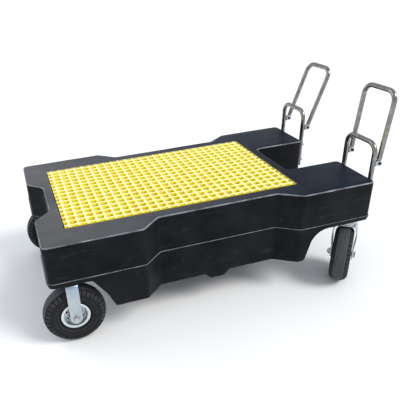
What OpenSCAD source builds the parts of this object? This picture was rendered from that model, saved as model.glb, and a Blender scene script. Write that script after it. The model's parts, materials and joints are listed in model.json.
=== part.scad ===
// Drum dolly: a hollow moulded spill deck with a lift-out grating, two rigid casters at the
// front, two swivel casters at the back, and two push hoops with folding pull handles.
// Origin: on the floor under the middle of the whole object's box. +X runs from the rigid
// casters to the handles, +Z is up. "Left" is -Y, the left hand of a person at the handles.

/* [Deck] */
// Length of the moulded deck
deck_l = 1458; // [1400:1:1500]
// Width over the front shoulders
front_w = 868; // [850:1:900]
// Width at the waist
waist_w = 725; // [700:1:740]
// Width over the rear wings
wing_w = 856; // [840:1:890]
// Height of the deck top above the floor
deck_z = 486; // [480:1:495]
// Height of the undersides over the casters
ends_z = 296; // [294:1:298]
// Depth of the recesses that the caster plates sit in
pad_depth = 4; // [3:0.5:5]
// Height of the tub's flat bottom
tub_z = 149; // [145:1:160]
// Height of the bottom of the cross rib under the tub
rib_z = 122; // [118:1:130]
// Wall thickness of the moulding
wall = 6.5; // [5:0.5:8]
// Radius of the upright corners
corner_r = 22; // [10:1:26]
// Height of the middle of the parting ridge
seam_z = 317; // [314:1:325]
// How far the parting ridge stands out
seam_out = 4; // [2:0.5:6]
// Height of the parting ridge
seam_h = 10; // [6:1:12]

/* [Deck outline] */
// Front end to the start of the waist's front chamfer
front_step = 397; // [380:1:410]
// Length of the waist's front chamfer
front_chamfer = 79; // [60:1:90]
// Back end to the start of the wings' chamfer
wing_step = 354; // [345:1:370]
// Length of the wings' chamfer
wing_chamfer = 91; // [70:1:95]
// Depth of the gap between the wings
gap_depth = 277; // [250:1:280]
// Width of the gap between the wings
gap_w = 304; // [290:1:320]
// Depth of the hand hold in the front end
hold_depth = 68; // [50:1:72]
// Width of the hand hold at its mouth
hold_mouth = 384; // [360:1:400]
// Width of the hand hold at its back
hold_back = 248; // [220:1:260]

/* [Grating] */
// Pitch of the grating's bars
pitch = 38; // [38:1:38]
// Bars across the deck's length
bars_x = 27; // [27:1:27]
// Bars across the deck's width
bars_y = 16; // [16:1:16]
// Width of a bar
bar_w = 9; // [7:0.5:12]
// Depth of the grating
grating_h = 38; // [30:1:38]
// Front end of the deck to the grating
grating_in = 109; // [107:1:112]
// Gap round the grating
grating_gap = 4; // [3:0.5:6]
// Width of the ledge that carries the grating
ledge_w = 30; // [25:1:35]

/* [Wheels] */
// Tyre diameter
tyre_d = 262; // [262:1:262]
// Tyre width
tyre_w = 84; // [80:1:86]
// Diameter over the rim flanges
rim_d = 122; // [120:1:122]
// Half width over the rim flanges
rim_half = 33.5; // [33:0.5:34]
// Length of half the hub
hub_half = 38; // [36:0.5:39]
// Axle diameter
axle_d = 16; // [14:1:16]
// Bearing outer diameter
bearing_d = 35; // [34:1:35]
// Bearing width
bearing_w = 10.6; // [9:0.1:11]

/* [Casters] */
// Front end of the deck to the front axles
front_axle_in = 88; // [85:1:92]
// Distance between the front wheels' middles
front_track = 756; // [750:1:760]
// Back end of the deck to the swivel axes
swivel_in = 73; // [72:1:80]
// Distance between the swivel axes
rear_track = 742; // [736:1:744]
// Trail of the swivel casters
trail = 45; // [42:1:50]
// Turn of the rear casters from straight ahead
rear_yaw = 49; // [0:1:75]
// Thickness of the caster steel
steel_t = 5; // [4:0.5:6]
// Width of a fork leg at the axle
leg_w = 50; // [46:1:52]
// Thickness of the caster top plates
plate_t = 6; // [5:0.5:7]
// Bolt spacing of the top plates along the dolly
bolt_x = 92; // [90:1:94]
// Bolt spacing of the top plates across the dolly
bolt_y = 58; // [56:1:59]

/* [Handles] */
// Tube diameter
tube_d = 22; // [20:0.5:22]
// Tube wall
tube_wall = 1.5; // [1:0.25:2]
// Middle of the dolly to the middle of each handle
handle_y = 280; // [275:1:285]
// Spacing of a handle's legs
handle_w = 188; // [180:1:190]
// Radius of the tube bends
bend_r = 45; // [40:1:50]
// Height of the fixed hoop's top bar
hoop_top_z = 636; // [620:1:650]
// Height of the lower ends of the fixed hoops
hoop_foot_z = 340; // [335:1:345]
// Height of the pivot of the folding handle
pivot_z = 547; // [540:1:550]
// Distance of the pivot outboard of the fixed hoop
pivot_out = 28; // [28:0.5:32]
// Pivot to the middle of the folding handle's grip bar
swing_l = 306; // [290:1:315]
// Lean of the left folding handle away from upright
left_lean = 5; // [0:1:30]
// Lean of the right folding handle away from upright
right_lean = 20; // [0:1:30]

/* [Hidden] */
$fn = 64;

// Places along the deck, measured from its middle
front_x = -deck_l / 2;
back_x = deck_l / 2;
front_axle_x = front_x + front_axle_in;
swivel_x = back_x - swivel_in;
tube_r = tube_d / 2;
hoop_x = back_x + tube_r + 0.5;
pivot_x = hoop_x + pivot_out;
grating_l = bars_x * pitch;
grating_w = bars_y * pitch;
grating_mid_x = front_x + grating_in + grating_l / 2;
ledge_z = deck_z - grating_h - 0.2;

// The whole object's box runs from the front tyres to the further-leaning handle
tyre_r = tyre_d / 2;
axle_z = tyre_r;
reach = swing_l * sin(max(left_lean, right_lean)) + tube_r;
frame_shift = -(front_axle_x - tyre_r + pivot_x + reach) / 2;

// Profile of the arches over the wheels, from their feet on the tub's bottom: the front one's
// [run, rise] to its knee and its whole run, the rear one's middle, radius and sweep
front_foot_x = front_x + 257;
front_knee = [-30, 68];
front_run = -85;
rear_foot_x = front_x + 1140;
rear_arch_x = front_x + 1246;
rear_arch_r = 85;
rear_arch_end = 68;
rib_mid_x = front_x + 741;
rib_bottom_w = 66;
rib_top_w = 118;

// Wheel details, from the middle of the wheel
bead_r = 51.5;
well_r = 44;
sheet_t = 3;
seat_z = 29;
shoulder_z = 14;
well_z = 8;
hub_root_z = 20;
bead_gap = 0.3;
bead_toe_z = 19;
hub_r = 21;
rim_bolt_r = 35;
valve_foot = [66, 4];
valve_tip = [38, 24];
valve_turn = 150;
section_mid_r = 93;
tube_section_r = 28.5;
tyre_wall = 7;
fit = 0.05;

// Caster details
front_gap = 48;
rear_gap = 45;
leg_bow = 5;
crown_t = 6;
crown_top_z = 276;
crown_r = 45;
race_r = 32;
race_w = 8;
race_h = 9;
ball_r = 4;
ball_n = 18;
ball_z = crown_top_z + race_h + 1;
pad_z = ends_z + pad_depth;
pad_gap = 1.5;
plate_z = pad_z - plate_t;
front_plate = [118, 80];
rear_plate = [118, 92];
kingpin_r = 7;
kingpin_head_r = 14;
kingpin_head_h = 4;
kingpin_hex_r = 11 / cos(30);
kingpin_nut_h = 7;

// Fasteners
m10 = [5, 8.5 / cos(30), 6.4];
m8 = [4, 6.5 / cos(30), 5.3];
m6 = [3, 5 / cos(30), 4];
axle_hex_r = 12 / cos(30);
axle_hex_h = 9;
washer_t = 2;
insert_r = 8;
insert_l = 24;
boss_r = 13;
boss_l = 30;
hoop_bolt_z = [366, 452];
tab_t = 6;
tab_r = 11;
tab_gap = 18;
cheek_t = 4;
cheek_r = 12;
cheek_in = tab_t / 2 + 0.3;

// Moves a piece from the deck's own frame to the object's frame
module in_frame() {
    translate([frame_shift, 0, 0]) children();
}

// side -1 keeps a left-hand piece, side 1 mirrors it to the right
module on_side(side) {
    if (side > 0) {
        mirror([0, 1, 0]) children();
    } else {
        children();
    }
}

// Frame of a front wheel: its middle at the origin, its axle along Y
module at_front_wheel(side) {
    in_frame() on_side(side) translate([front_axle_x, -front_track / 2, axle_z]) children();
}

// Frame of a rear swivel: the swivel axis at the origin, the floor at z = 0
module at_swivel(side) {
    in_frame() on_side(side) translate([swivel_x, -rear_track / 2, 0]) children();
}

// Frames of the bolts under the caster plates: the middle of the bolt pattern at the origin
module at_front_bolts(side) {
    in_frame() on_side(side) translate([front_axle_x, -front_track / 2, plate_z]) children();
}

module at_rear_bolts(side) {
    at_swivel(side) translate([0, 0, plate_z]) children();
}

// Frame of a rear wheel: its middle at the origin, its axle along Y, swivel axis at x = trail
module at_rear_wheel(side) {
    at_swivel(side) rotate([0, 0, rear_yaw]) translate([-trail, 0, axle_z]) children();
}

// Frame of a handle: the middle of its two legs, the floor at z = 0
module at_handle(side) {
    in_frame() on_side(side) translate([hoop_x, -handle_y, 0]) children();
}

// Turns a shape built round Z so that its axis lies along Y, its top to the left
module along_axle() {
    rotate([90, 0, 0]) children();
}

// Hexagon head or nut: across-corners radius, height
module hexagon(r, h) {
    cylinder(r = r, h = h, $fn = 6);
}

// Bolt from the seat of its head at z = 0: size [shank r, head r, head h], shank down to -length
module bolt(size, length) {
    hexagon(size[1], size[2]);
    translate([0, 0, -length]) cylinder(r = size[0] - 0.1, h = length + 1);
}

// Nut on a shank, from z = 0 down
module nut(size) {
    translate([0, 0, -size[2]]) difference() {
        hexagon(size[1], size[2]);
        translate([0, 0, -1]) cylinder(r = size[0] - 0.05, h = size[2] + 2);
    }
}

// Four copies at the corners of a rectangle
module at_corners(x, y) {
    for (i = [-1, 1], j = [-1, 1]) {
        translate([i * x / 2, j * y / 2, 0]) children();
    }
}

// ---- Deck ----

function mirrored_y(points) = [for (i = [len(points) - 1:-1:0]) [points[i][0], -points[i][1]]];

function arc(centre, r, from, to, steps) = [
    for (i = [0:steps]) let (a = from + (to - from) * i / steps)
        centre + r * [cos(a), sin(a)]
];

// Plan of the deck, with all its corners rounded
module plan() {
    half = [
        [front_x + hold_depth, hold_back / 2],
        [front_x, hold_mouth / 2],
        [front_x, front_w / 2],
        [front_x + front_step, front_w / 2],
        [front_x + front_step + front_chamfer, waist_w / 2],
        [back_x - wing_step - wing_chamfer, waist_w / 2],
        [back_x - wing_step, wing_w / 2],
        [back_x, wing_w / 2],
        [back_x, gap_w / 2],
        [back_x - gap_depth, gap_w / 2]
    ];
    offset(r = corner_r, $fn = 32) offset(r = -2 * corner_r, $fn = 32) offset(r = corner_r, $fn = 32)
        polygon(concat(half, mirrored_y(half)));
}

// Side view of the deck: arches over the wheels at both ends, a cross rib under the tub
module side_view() {
    polygon(concat(
        [
            [front_x, deck_z + 1],
            [front_x, ends_z],
            [front_foot_x + front_run, ends_z],
            [front_foot_x + front_knee[0], tub_z + front_knee[1]],
            [front_foot_x, tub_z],
            [rib_mid_x - rib_top_w / 2, tub_z],
            [rib_mid_x - rib_bottom_w / 2, rib_z],
            [rib_mid_x + rib_bottom_w / 2, rib_z],
            [rib_mid_x + rib_top_w / 2, tub_z],
            [rear_foot_x, tub_z]
        ],
        arc([rear_arch_x, ends_z - rear_arch_r], rear_arch_r, 90 + rear_arch_end, 90, 6),
        [
            [back_x, ends_z],
            [back_x, deck_z + 1]
        ]
    ));
}

// The deck's shape, drawn in by a distance from every outer face
module deck_form(inset) {
    intersection() {
        linear_extrude(deck_z - inset) offset(delta = -inset) plan();
        translate([0, front_w, 0]) rotate([90, 0, 0]) linear_extrude(2 * front_w)
            offset(delta = -inset) side_view();
    }
}

module grating_frame(margin, z_low, z_high) {
    translate([grating_mid_x - grating_l / 2 - margin, -grating_w / 2 - margin, z_low])
        cube([grating_l + 2 * margin, grating_w + 2 * margin, z_high - z_low]);
}

// Recesses for the caster plates, drawn out by a margin and up by a height
module pads(margin, height) {
    for (side = [-1, 1]) {
        translate([front_axle_x, side * front_track / 2, 0]) pad(front_plate, margin, height);
        translate([swivel_x, side * rear_track / 2, 0]) pad(rear_plate, margin, height);
    }
}

module pad(plate, margin, height) {
    translate([-plate[0] / 2 - margin, -plate[1] / 2 - margin, ends_z - 1])
        cube([plate[0] + 2 * margin, plate[1] + 2 * margin, height + 1]);
}

// Places of the threaded inserts: over the caster plates and in the end faces of the wings
module at_caster_inserts() {
    for (side = [-1, 1]) {
        translate([front_axle_x, side * front_track / 2, pad_z]) at_corners(bolt_x, bolt_y)
            children();
        translate([swivel_x, side * rear_track / 2, pad_z]) at_corners(bolt_x, bolt_y)
            children();
    }
}

module at_hoop_inserts() {
    for (side = [-1, 1], leg = [-1, 1], z = hoop_bolt_z) {
        translate([back_x, side * handle_y + leg * handle_w / 2, z]) rotate([0, -90, 0])
            children();
    }
}

module deck_shell() {
    color([0.13, 0.14, 0.16]) in_frame() difference() {
        union() {
            difference() {
                union() {
                    deck_form(0);
                    translate([0, 0, seam_z - seam_h / 2]) linear_extrude(seam_h)
                        offset(delta = seam_out) plan();
                }
                difference() {
                    deck_form(wall);
                    grating_frame(grating_gap + wall, ledge_z - wall, deck_z);
                    pads(pad_gap + wall, pad_depth + wall);
                }
            }
            at_caster_inserts() cylinder(r = boss_r, h = boss_l);
            at_hoop_inserts() cylinder(r = boss_r, h = boss_l);
        }
        pads(pad_gap, pad_depth);
        grating_frame(grating_gap, ledge_z, deck_z + 1);
        grating_frame(-ledge_w, ledge_z - wall - 1, ledge_z + 1);
        at_caster_inserts() translate([0, 0, -1]) cylinder(r = insert_r, h = insert_l + 2.2);
        at_hoop_inserts() translate([0, 0, -1]) cylinder(r = insert_r, h = insert_l + 2.2);
    }
}

// Brass inserts moulded into the bosses
module threaded_inserts() {
    color([0.75, 0.62, 0.3]) in_frame() {
        at_caster_inserts() insert(m10[0]);
        at_hoop_inserts() insert(m8[0]);
    }
}

module insert(bore_r) {
    translate([0, 0, 1]) difference() {
        cylinder(r = insert_r - fit, h = insert_l);
        translate([0, 0, -1]) cylinder(r = bore_r, h = insert_l + 2);
    }
}

// One moulding: a mesh of bars that stop half a pitch past the outer crossings
module grating() {
    color([0.95, 0.82, 0.2]) in_frame()
        translate([grating_mid_x - grating_l / 2, -grating_w / 2, ledge_z + 0.2])
            linear_extrude(grating_h) {
                for (i = [0:bars_x - 1]) {
                    translate([(i + 0.5) * pitch - bar_w / 2, 0]) square([bar_w, grating_w]);
                }
                for (j = [0:bars_y - 1]) {
                    translate([0, (j + 0.5) * pitch - bar_w / 2]) square([grating_l, bar_w]);
                }
            }
}

// ---- Wheels: built round Z, with +Z outboard, then turned onto the axle ----

function signed_power(v, e) = sign(v) * pow(abs(v), e);

// Squarish oval section of a tyre, as [radius, height] points from angle to angle
function section(half_h, half_w, from, to, steps) = [
    for (i = [0:steps]) let (a = from + (to - from) * i / steps)
        [section_mid_r + half_h * signed_power(sin(a), 0.8), half_w * signed_power(cos(a), 0.8)]
];

module tyre() {
    bead_seat_r = bead_r + bead_gap;
    bead_heel_z = seat_z - 0.4;
    outer = section(tyre_r - section_mid_r, tyre_w / 2, -40, 220, 26);
    inner = section(tyre_r - section_mid_r - tyre_wall, tyre_w / 2 - tyre_wall, 220, -40, 26);
    color([0.09, 0.09, 0.1]) along_axle() rotate_extrude() polygon(concat(
        outer,
        [[rim_d / 2 + 1.3, -seat_z], [bead_seat_r, -bead_heel_z], [bead_seat_r, -bead_toe_z]],
        inner,
        [[bead_seat_r, bead_toe_z], [bead_seat_r, bead_heel_z], [rim_d / 2 + 1.3, seat_z]]
    ));
}

// Axis of the valve stem, starting in the wall of the inner tube
module at_valve() {
    step = valve_tip - valve_foot;
    rotate([0, 0, valve_turn]) translate([valve_foot[0], 0, valve_foot[1]])
        rotate([0, atan2(step[0], step[1]), 0]) children();
}

module inner_tube() {
    stem_l = norm(valve_tip - valve_foot);
    color([0.12, 0.12, 0.13]) along_axle() {
        difference() {
            union() {
                rotate_extrude() translate([section_mid_r, 0]) circle(r = tube_section_r);
                at_valve() cylinder(r = 4, h = stem_l - 8);
                at_valve() translate([0, 0, stem_l - 9]) cylinder(r = 4.8, h = 9);
            }
            rotate_extrude() translate([section_mid_r, 0]) circle(r = tube_section_r - 1.5);
        }
    }
}

// Half of the bolted rim: flat centre, drop centre, bead seat, flange and half of the hub
module rim_half() {
    bearing_seat_r = bearing_d / 2;
    bearing_stop = 1.5;
    stop_z = hub_half - bearing_w - 0.2;
    difference() {
        rotate_extrude() polygon([
            [bearing_seat_r - bearing_stop, 0],
            [well_r, 0],
            [well_r, well_z],
            [bead_r - 1, shoulder_z],
            [bead_r, seat_z],
            [rim_d / 2, rim_half - sheet_t],
            [rim_d / 2, rim_half],
            [bead_r - 2.5, rim_half],
            [bead_r - 1 - sheet_t, shoulder_z + 0.5],
            [well_r - sheet_t, well_z + 0.5],
            [well_r - sheet_t, sheet_t],
            [hub_r + 6, sheet_t],
            [hub_r, hub_root_z],
            [hub_r, hub_half],
            [bearing_seat_r, hub_half],
            [bearing_seat_r, stop_z],
            [bearing_seat_r - bearing_stop, stop_z]
        ]);
        at_rim_bolts() translate([0, 0, -1]) cylinder(r = m6[0] + 0.2, h = sheet_t + 2);
    }
}

module at_rim_bolts() {
    for (a = [45:90:315]) {
        rotate([0, 0, a]) translate([rim_bolt_r, 0, 0]) children();
    }
}

module rim_outer() {
    color([0.8, 0.81, 0.83]) along_axle() difference() {
        rim_half();
        at_valve() cylinder(r = 5.5, h = norm(valve_tip - valve_foot));
    }
}

module rim_inner() {
    color([0.8, 0.81, 0.83]) along_axle() mirror([0, 0, 1]) rim_half();
}

module rim_bolts() {
    color([0.7, 0.71, 0.73]) along_axle() at_rim_bolts() {
        translate([0, 0, sheet_t]) bolt(m6, 2 * sheet_t + 6);
        translate([0, 0, -sheet_t]) nut(m6);
    }
}

module bearings() {
    color([0.6, 0.6, 0.62]) along_axle() for (s = [0, 1]) {
        mirror([0, 0, s]) translate([0, 0, hub_half - bearing_w]) rotate_extrude() polygon([
            [axle_d / 2 + fit, 0],
            [bearing_d / 2 - fit, 0],
            [bearing_d / 2 - fit, bearing_w],
            [bearing_d / 2 - 3, bearing_w],
            [bearing_d / 2 - 3.5, bearing_w - 0.8],
            [axle_d / 2 + 3.5, bearing_w - 0.8],
            [axle_d / 2 + 3, bearing_w],
            [axle_d / 2 + fit, bearing_w]
        ]);
    }
}

// Axle bolt with washers, a nut and the two sleeves that centre the hub in the fork
module axle(gap) {
    seat = gap + steel_t + washer_t;
    color([0.72, 0.73, 0.75]) along_axle() {
        translate([0, 0, seat]) hexagon(axle_hex_r, axle_hex_h);
        translate([0, 0, -seat - axle_hex_h - 4]) cylinder(r = axle_d / 2, h = 2 * seat + axle_hex_h + 5);
        for (s = [0, 1]) {
            mirror([0, 0, s]) translate([0, 0, gap + steel_t]) ring(axle_d / 2 + 0.1, 15, washer_t);
            mirror([0, 0, s]) translate([0, 0, hub_half + 0.2])
                ring(axle_d / 2 + 0.1, 12, gap - hub_half - 0.2);
        }
        translate([0, 0, -seat - axle_hex_h]) difference() {
            hexagon(axle_hex_r, axle_hex_h);
            translate([0, 0, -1]) cylinder(r = axle_d / 2 + fit, h = axle_hex_h + 2);
        }
    }
}

module ring(inner_r, outer_r, h) {
    difference() {
        cylinder(r = outer_r, h = h);
        translate([0, 0, -1]) cylinder(r = inner_r, h = h + 2);
    }
}

// ---- Casters ----

module bolt_holes() {
    at_corners(bolt_x, bolt_y) translate([0, 0, -1]) cylinder(r = m10[0] + 0.4, h = plate_t + 2);
}

// Rigid fork: a top plate with a bent strap whose legs go straight down to the axle
module rigid_fork() {
    top = plate_z - axle_z;
    outer = front_gap + steel_t;
    color([0.76, 0.78, 0.8]) {
        translate([0, 0, top]) difference() {
            translate([-front_plate[0] / 2, -front_plate[1] / 2, 0])
                cube([front_plate[0], front_plate[1], plate_t]);
            bolt_holes();
        }
        difference() {
            union() {
                translate([-leg_w / 2, -outer, top - steel_t]) cube([leg_w, 2 * outer, steel_t]);
                for (s = [0, 1]) {
                    mirror([0, s, 0]) translate([0, -front_gap, 0]) rotate([90, 0, 0])
                        linear_extrude(steel_t) {
                            circle(r = leg_w / 2);
                            translate([-leg_w / 2, 0]) square([leg_w, top]);
                        }
                }
            }
            along_axle() cylinder(r = axle_d / 2 + 0.1, h = 3 * outer, center = true);
        }
    }
}

// Bolts that hold a top plate: heads under the plate, shanks in the inserts
module mounting_bolts() {
    color([0.7, 0.71, 0.73]) at_corners(bolt_x, bolt_y) mirror([0, 0, 1]) bolt(m10, 26);
}

module swivel_top_plate() {
    race_z = ball_z + 1;
    color([0.76, 0.78, 0.8]) difference() {
        union() {
            translate([-rear_plate[0] / 2, -rear_plate[1] / 2, plate_z])
                cube([rear_plate[0], rear_plate[1], plate_t]);
            translate([0, 0, race_z]) ring(race_r - race_w, race_r + race_w, plate_z - race_z + 1);
        }
        translate([0, 0, plate_z]) bolt_holes();
        translate([0, 0, plate_z - 1]) cylinder(r = kingpin_r + 0.2, h = plate_t + 2);
        translate([0, 0, pad_z - kingpin_head_h - 0.2]) cylinder(r = kingpin_head_r + 0.2, h = 10);
        ball_track();
    }
}

module ball_track() {
    translate([0, 0, ball_z]) rotate_extrude() translate([race_r, 0]) circle(r = ball_r + 0.3);
}

module swivel_balls() {
    color([0.62, 0.63, 0.65]) for (i = [0:ball_n - 1]) {
        rotate([0, 0, 360 * i / ball_n]) translate([race_r, 0, ball_z]) sphere(r = ball_r);
    }
}

// Kingpin with a low nut, clear of the tyre that turns close under it
module kingpin() {
    nut_z = crown_top_z - crown_t - kingpin_nut_h - 0.2;
    color([0.7, 0.71, 0.73]) {
        translate([0, 0, pad_z - kingpin_head_h - 0.1])
            cylinder(r = kingpin_head_r, h = kingpin_head_h);
        translate([0, 0, nut_z - 1]) cylinder(r = kingpin_r, h = pad_z - kingpin_head_h - nut_z + 1);
        translate([0, 0, nut_z]) hexagon(kingpin_hex_r, kingpin_nut_h);
    }
}

// Swivel fork in its wheel's frame: a crown with the lower ball race, and two bowed legs
module swivel_fork() {
    top = crown_top_z - axle_z;
    mid = rear_gap + steel_t / 2;
    line = [[mid - leg_bow, top], [mid + leg_bow, top - 39], [mid + leg_bow, 75], [mid, 25], [mid, -leg_w]];
    back = [for (i = [len(line) - 1:-1:0]) line[i] + [steel_t / 2, 0]];
    front = [for (p = line) p - [steel_t / 2, 0]];
    color([0.76, 0.78, 0.8]) difference() {
        union() {
            for (s = [0, 1]) {
                mirror([0, s, 0]) intersection() {
                    translate([-leg_w, 0, 0]) rotate([90, 0, 90]) linear_extrude(4 * leg_w)
                        polygon(concat(front, back));
                    translate([0, 2 * leg_w, 0]) rotate([90, 0, 0]) linear_extrude(4 * leg_w)
                        leg_side(top);
                }
            }
            translate([0, 0, top - crown_t]) linear_extrude(crown_t) {
                translate([trail, 0]) circle(r = crown_r);
                translate([trail - crown_r, -mid + leg_bow]) square([2 * crown_r, 2 * (mid - leg_bow)]);
            }
            translate([trail, 0, top - 1]) ring(race_r - race_w, race_r + race_w, race_h + 1);
        }
        translate([trail, 0, top - crown_t - 1]) cylinder(r = kingpin_r + fit, h = crown_t + 2);
        translate([trail, 0, -axle_z]) ball_track();
        along_axle() cylinder(r = axle_d / 2 + 0.1, h = 4 * leg_w, center = true);
    }
}

module leg_side(top) {
    circle(r = leg_w / 2);
    polygon([
        [-leg_w / 2 + 1, 7],
        [trail - crown_r, top],
        [trail + crown_r, top],
        [leg_w / 2 - 1, -7]
    ]);
}

// ---- Handles ----

// Inverted U of round bar: radius, leg height from z = low up to the bar at z = top
module u_bar(r, low, top) {
    leg = handle_w / 2;
    for (s = [0, 1]) {
        mirror([0, s, 0]) {
            translate([0, leg, low]) cylinder(r = r, h = top - bend_r - low);
            translate([0, leg - bend_r, top - bend_r]) rotate([90, 0, 90])
                rotate_extrude(angle = 90) translate([bend_r, 0]) circle(r = r);
        }
    }
    translate([0, bend_r - leg, top]) rotate([-90, 0, 0]) cylinder(r = r, h = handle_w - 2 * bend_r);
}

module at_legs() {
    for (s = [-1, 1]) {
        translate([0, s * handle_w / 2, 0]) children();
    }
}

module hoop() {
    color([0.8, 0.81, 0.82]) difference() {
        u_bar(tube_r, hoop_foot_z, hoop_top_z);
        u_bar(tube_r - tube_wall, hoop_foot_z - 1, hoop_top_z);
        at_legs() for (z = hoop_bolt_z) {
            translate([0, 0, z]) rotate([0, 90, 0]) cylinder(r = m8[0] + 0.3, h = 3 * tube_d, center = true);
        }
    }
}

module hoop_bolts() {
    color([0.7, 0.71, 0.73]) at_legs() for (z = hoop_bolt_z) {
        translate([tube_r + 0.2, 0, z]) rotate([0, 90, 0]) bolt(m8, tube_d + 22);
    }
}

module hoop_plugs() {
    cap_t = 3;
    color([0.1, 0.1, 0.1]) at_legs() {
        translate([0, 0, hoop_foot_z - cap_t]) cylinder(r = tube_r, h = cap_t);
        translate([0, 0, hoop_foot_z - 1]) cylinder(r = tube_r - tube_wall - 0.1, h = 13);
    }
}

// Clevis welded to the outboard side of each hoop leg
module clevises() {
    web_x = tube_r + 0.3;
    web_t = 3;
    half = cheek_in + cheek_t;
    color([0.76, 0.77, 0.79]) at_legs() difference() {
        union() {
            translate([web_x, -half, pivot_z - cheek_r]) cube([pivot_out - web_x, 2 * half, 2 * cheek_r]);
            translate([pivot_out, half, pivot_z]) rotate([90, 0, 0]) cylinder(r = cheek_r, h = 2 * half);
        }
        translate([web_x + web_t, -cheek_in, pivot_z - 2 * cheek_r])
            cube([4 * cheek_r, 2 * cheek_in, 4 * cheek_r]);
        translate([pivot_out, 0, pivot_z]) rotate([90, 0, 0])
            cylinder(r = m8[0] + 0.1, h = 4 * half, center = true);
    }
}

module pivot_bolts() {
    half = cheek_in + cheek_t + washer_t;
    color([0.72, 0.73, 0.75]) for (s = [0, 1]) {
        mirror([0, s, 0]) translate([pivot_out, handle_w / 2, pivot_z]) rotate([-90, 0, 0]) {
            translate([0, 0, half]) hexagon(m8[1], m8[2]);
            translate([0, 0, -half - 9]) cylinder(r = m8[0], h = 2 * half + 10);
            translate([0, 0, half - washer_t]) ring(m8[0] + 0.1, 10, washer_t);
            translate([0, 0, -half]) ring(m8[0] + 0.1, 10, washer_t);
            translate([0, 0, -half - 6.5]) ring(m8[0] + fit, 7, 6.5);
        }
    }
}

// Folding handle in the pivot's frame, leaning outboard from upright
module swing_handle(lean) {
    color([0.8, 0.81, 0.82]) translate([pivot_out, 0, pivot_z]) rotate([0, lean, 0]) {
        difference() {
            u_bar(tube_r, tab_gap, swing_l);
            u_bar(tube_r - tube_wall, tab_gap - 1, swing_l);
        }
        at_legs() {
            translate([0, 0, tab_gap]) cylinder(r = tube_r - tube_wall, h = 10);
            translate([0, tab_t / 2, 0]) rotate([90, 0, 0]) difference() {
                linear_extrude(tab_t) {
                    circle(r = tab_r);
                    translate([-tab_r, 0]) square([2 * tab_r, tab_gap]);
                }
                translate([0, 0, -1]) cylinder(r = m8[0] + fit, h = tab_t + 2);
            }
        }
    }
}

deck_shell();
grating();
threaded_inserts();

at_front_wheel(-1) rigid_fork();  // front_left_fork
at_front_wheel(-1) axle(front_gap);  // front_left_axle
at_front_bolts(-1) mounting_bolts();  // front_left_mounting_bolts
at_front_wheel(-1) rim_outer();  // front_left_rim_outer
at_front_wheel(-1) rim_inner();  // front_left_rim_inner
at_front_wheel(-1) rim_bolts();  // front_left_rim_bolts
at_front_wheel(-1) tyre();  // front_left_tyre
at_front_wheel(-1) inner_tube();  // front_left_inner_tube
at_front_wheel(-1) bearings();  // front_left_bearings

at_front_wheel(1) rigid_fork();  // front_right_fork
at_front_wheel(1) axle(front_gap);  // front_right_axle
at_front_bolts(1) mounting_bolts();  // front_right_mounting_bolts
at_front_wheel(1) rim_outer();  // front_right_rim_outer
at_front_wheel(1) rim_inner();  // front_right_rim_inner
at_front_wheel(1) rim_bolts();  // front_right_rim_bolts
at_front_wheel(1) tyre();  // front_right_tyre
at_front_wheel(1) inner_tube();  // front_right_inner_tube
at_front_wheel(1) bearings();  // front_right_bearings

at_swivel(-1) swivel_top_plate();  // rear_left_top_plate
at_swivel(-1) kingpin();  // rear_left_kingpin
at_swivel(-1) swivel_balls();  // rear_left_swivel_balls
at_rear_wheel(-1) swivel_fork();  // rear_left_fork
at_rear_wheel(-1) axle(rear_gap);  // rear_left_axle
at_rear_bolts(-1) mounting_bolts();  // rear_left_mounting_bolts
at_rear_wheel(-1) rim_outer();  // rear_left_rim_outer
at_rear_wheel(-1) rim_inner();  // rear_left_rim_inner
at_rear_wheel(-1) rim_bolts();  // rear_left_rim_bolts
at_rear_wheel(-1) tyre();  // rear_left_tyre
at_rear_wheel(-1) inner_tube();  // rear_left_inner_tube
at_rear_wheel(-1) bearings();  // rear_left_bearings

at_swivel(1) swivel_top_plate();  // rear_right_top_plate
at_swivel(1) kingpin();  // rear_right_kingpin
at_swivel(1) swivel_balls();  // rear_right_swivel_balls
at_rear_wheel(1) swivel_fork();  // rear_right_fork
at_rear_wheel(1) axle(rear_gap);  // rear_right_axle
at_rear_bolts(1) mounting_bolts();  // rear_right_mounting_bolts
at_rear_wheel(1) rim_outer();  // rear_right_rim_outer
at_rear_wheel(1) rim_inner();  // rear_right_rim_inner
at_rear_wheel(1) rim_bolts();  // rear_right_rim_bolts
at_rear_wheel(1) tyre();  // rear_right_tyre
at_rear_wheel(1) inner_tube();  // rear_right_inner_tube
at_rear_wheel(1) bearings();  // rear_right_bearings

at_handle(-1) hoop();  // left_hoop
at_handle(-1) hoop_bolts();  // left_hoop_bolts
at_handle(-1) hoop_plugs();  // left_hoop_plugs
at_handle(-1) clevises();  // left_clevises
at_handle(-1) pivot_bolts();  // left_pivot_bolts
at_handle(-1) swing_handle(left_lean);  // left_swing_handle

at_handle(1) hoop();  // right_hoop
at_handle(1) hoop_bolts();  // right_hoop_bolts
at_handle(1) hoop_plugs();  // right_hoop_plugs
at_handle(1) clevises();  // right_clevises
at_handle(1) pivot_bolts();  // right_pivot_bolts
at_handle(1) swing_handle(right_lean);  // right_swing_handle
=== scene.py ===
import json
import math

import bmesh
import bpy
from mathutils import Euler, Matrix, Vector, noise


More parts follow.
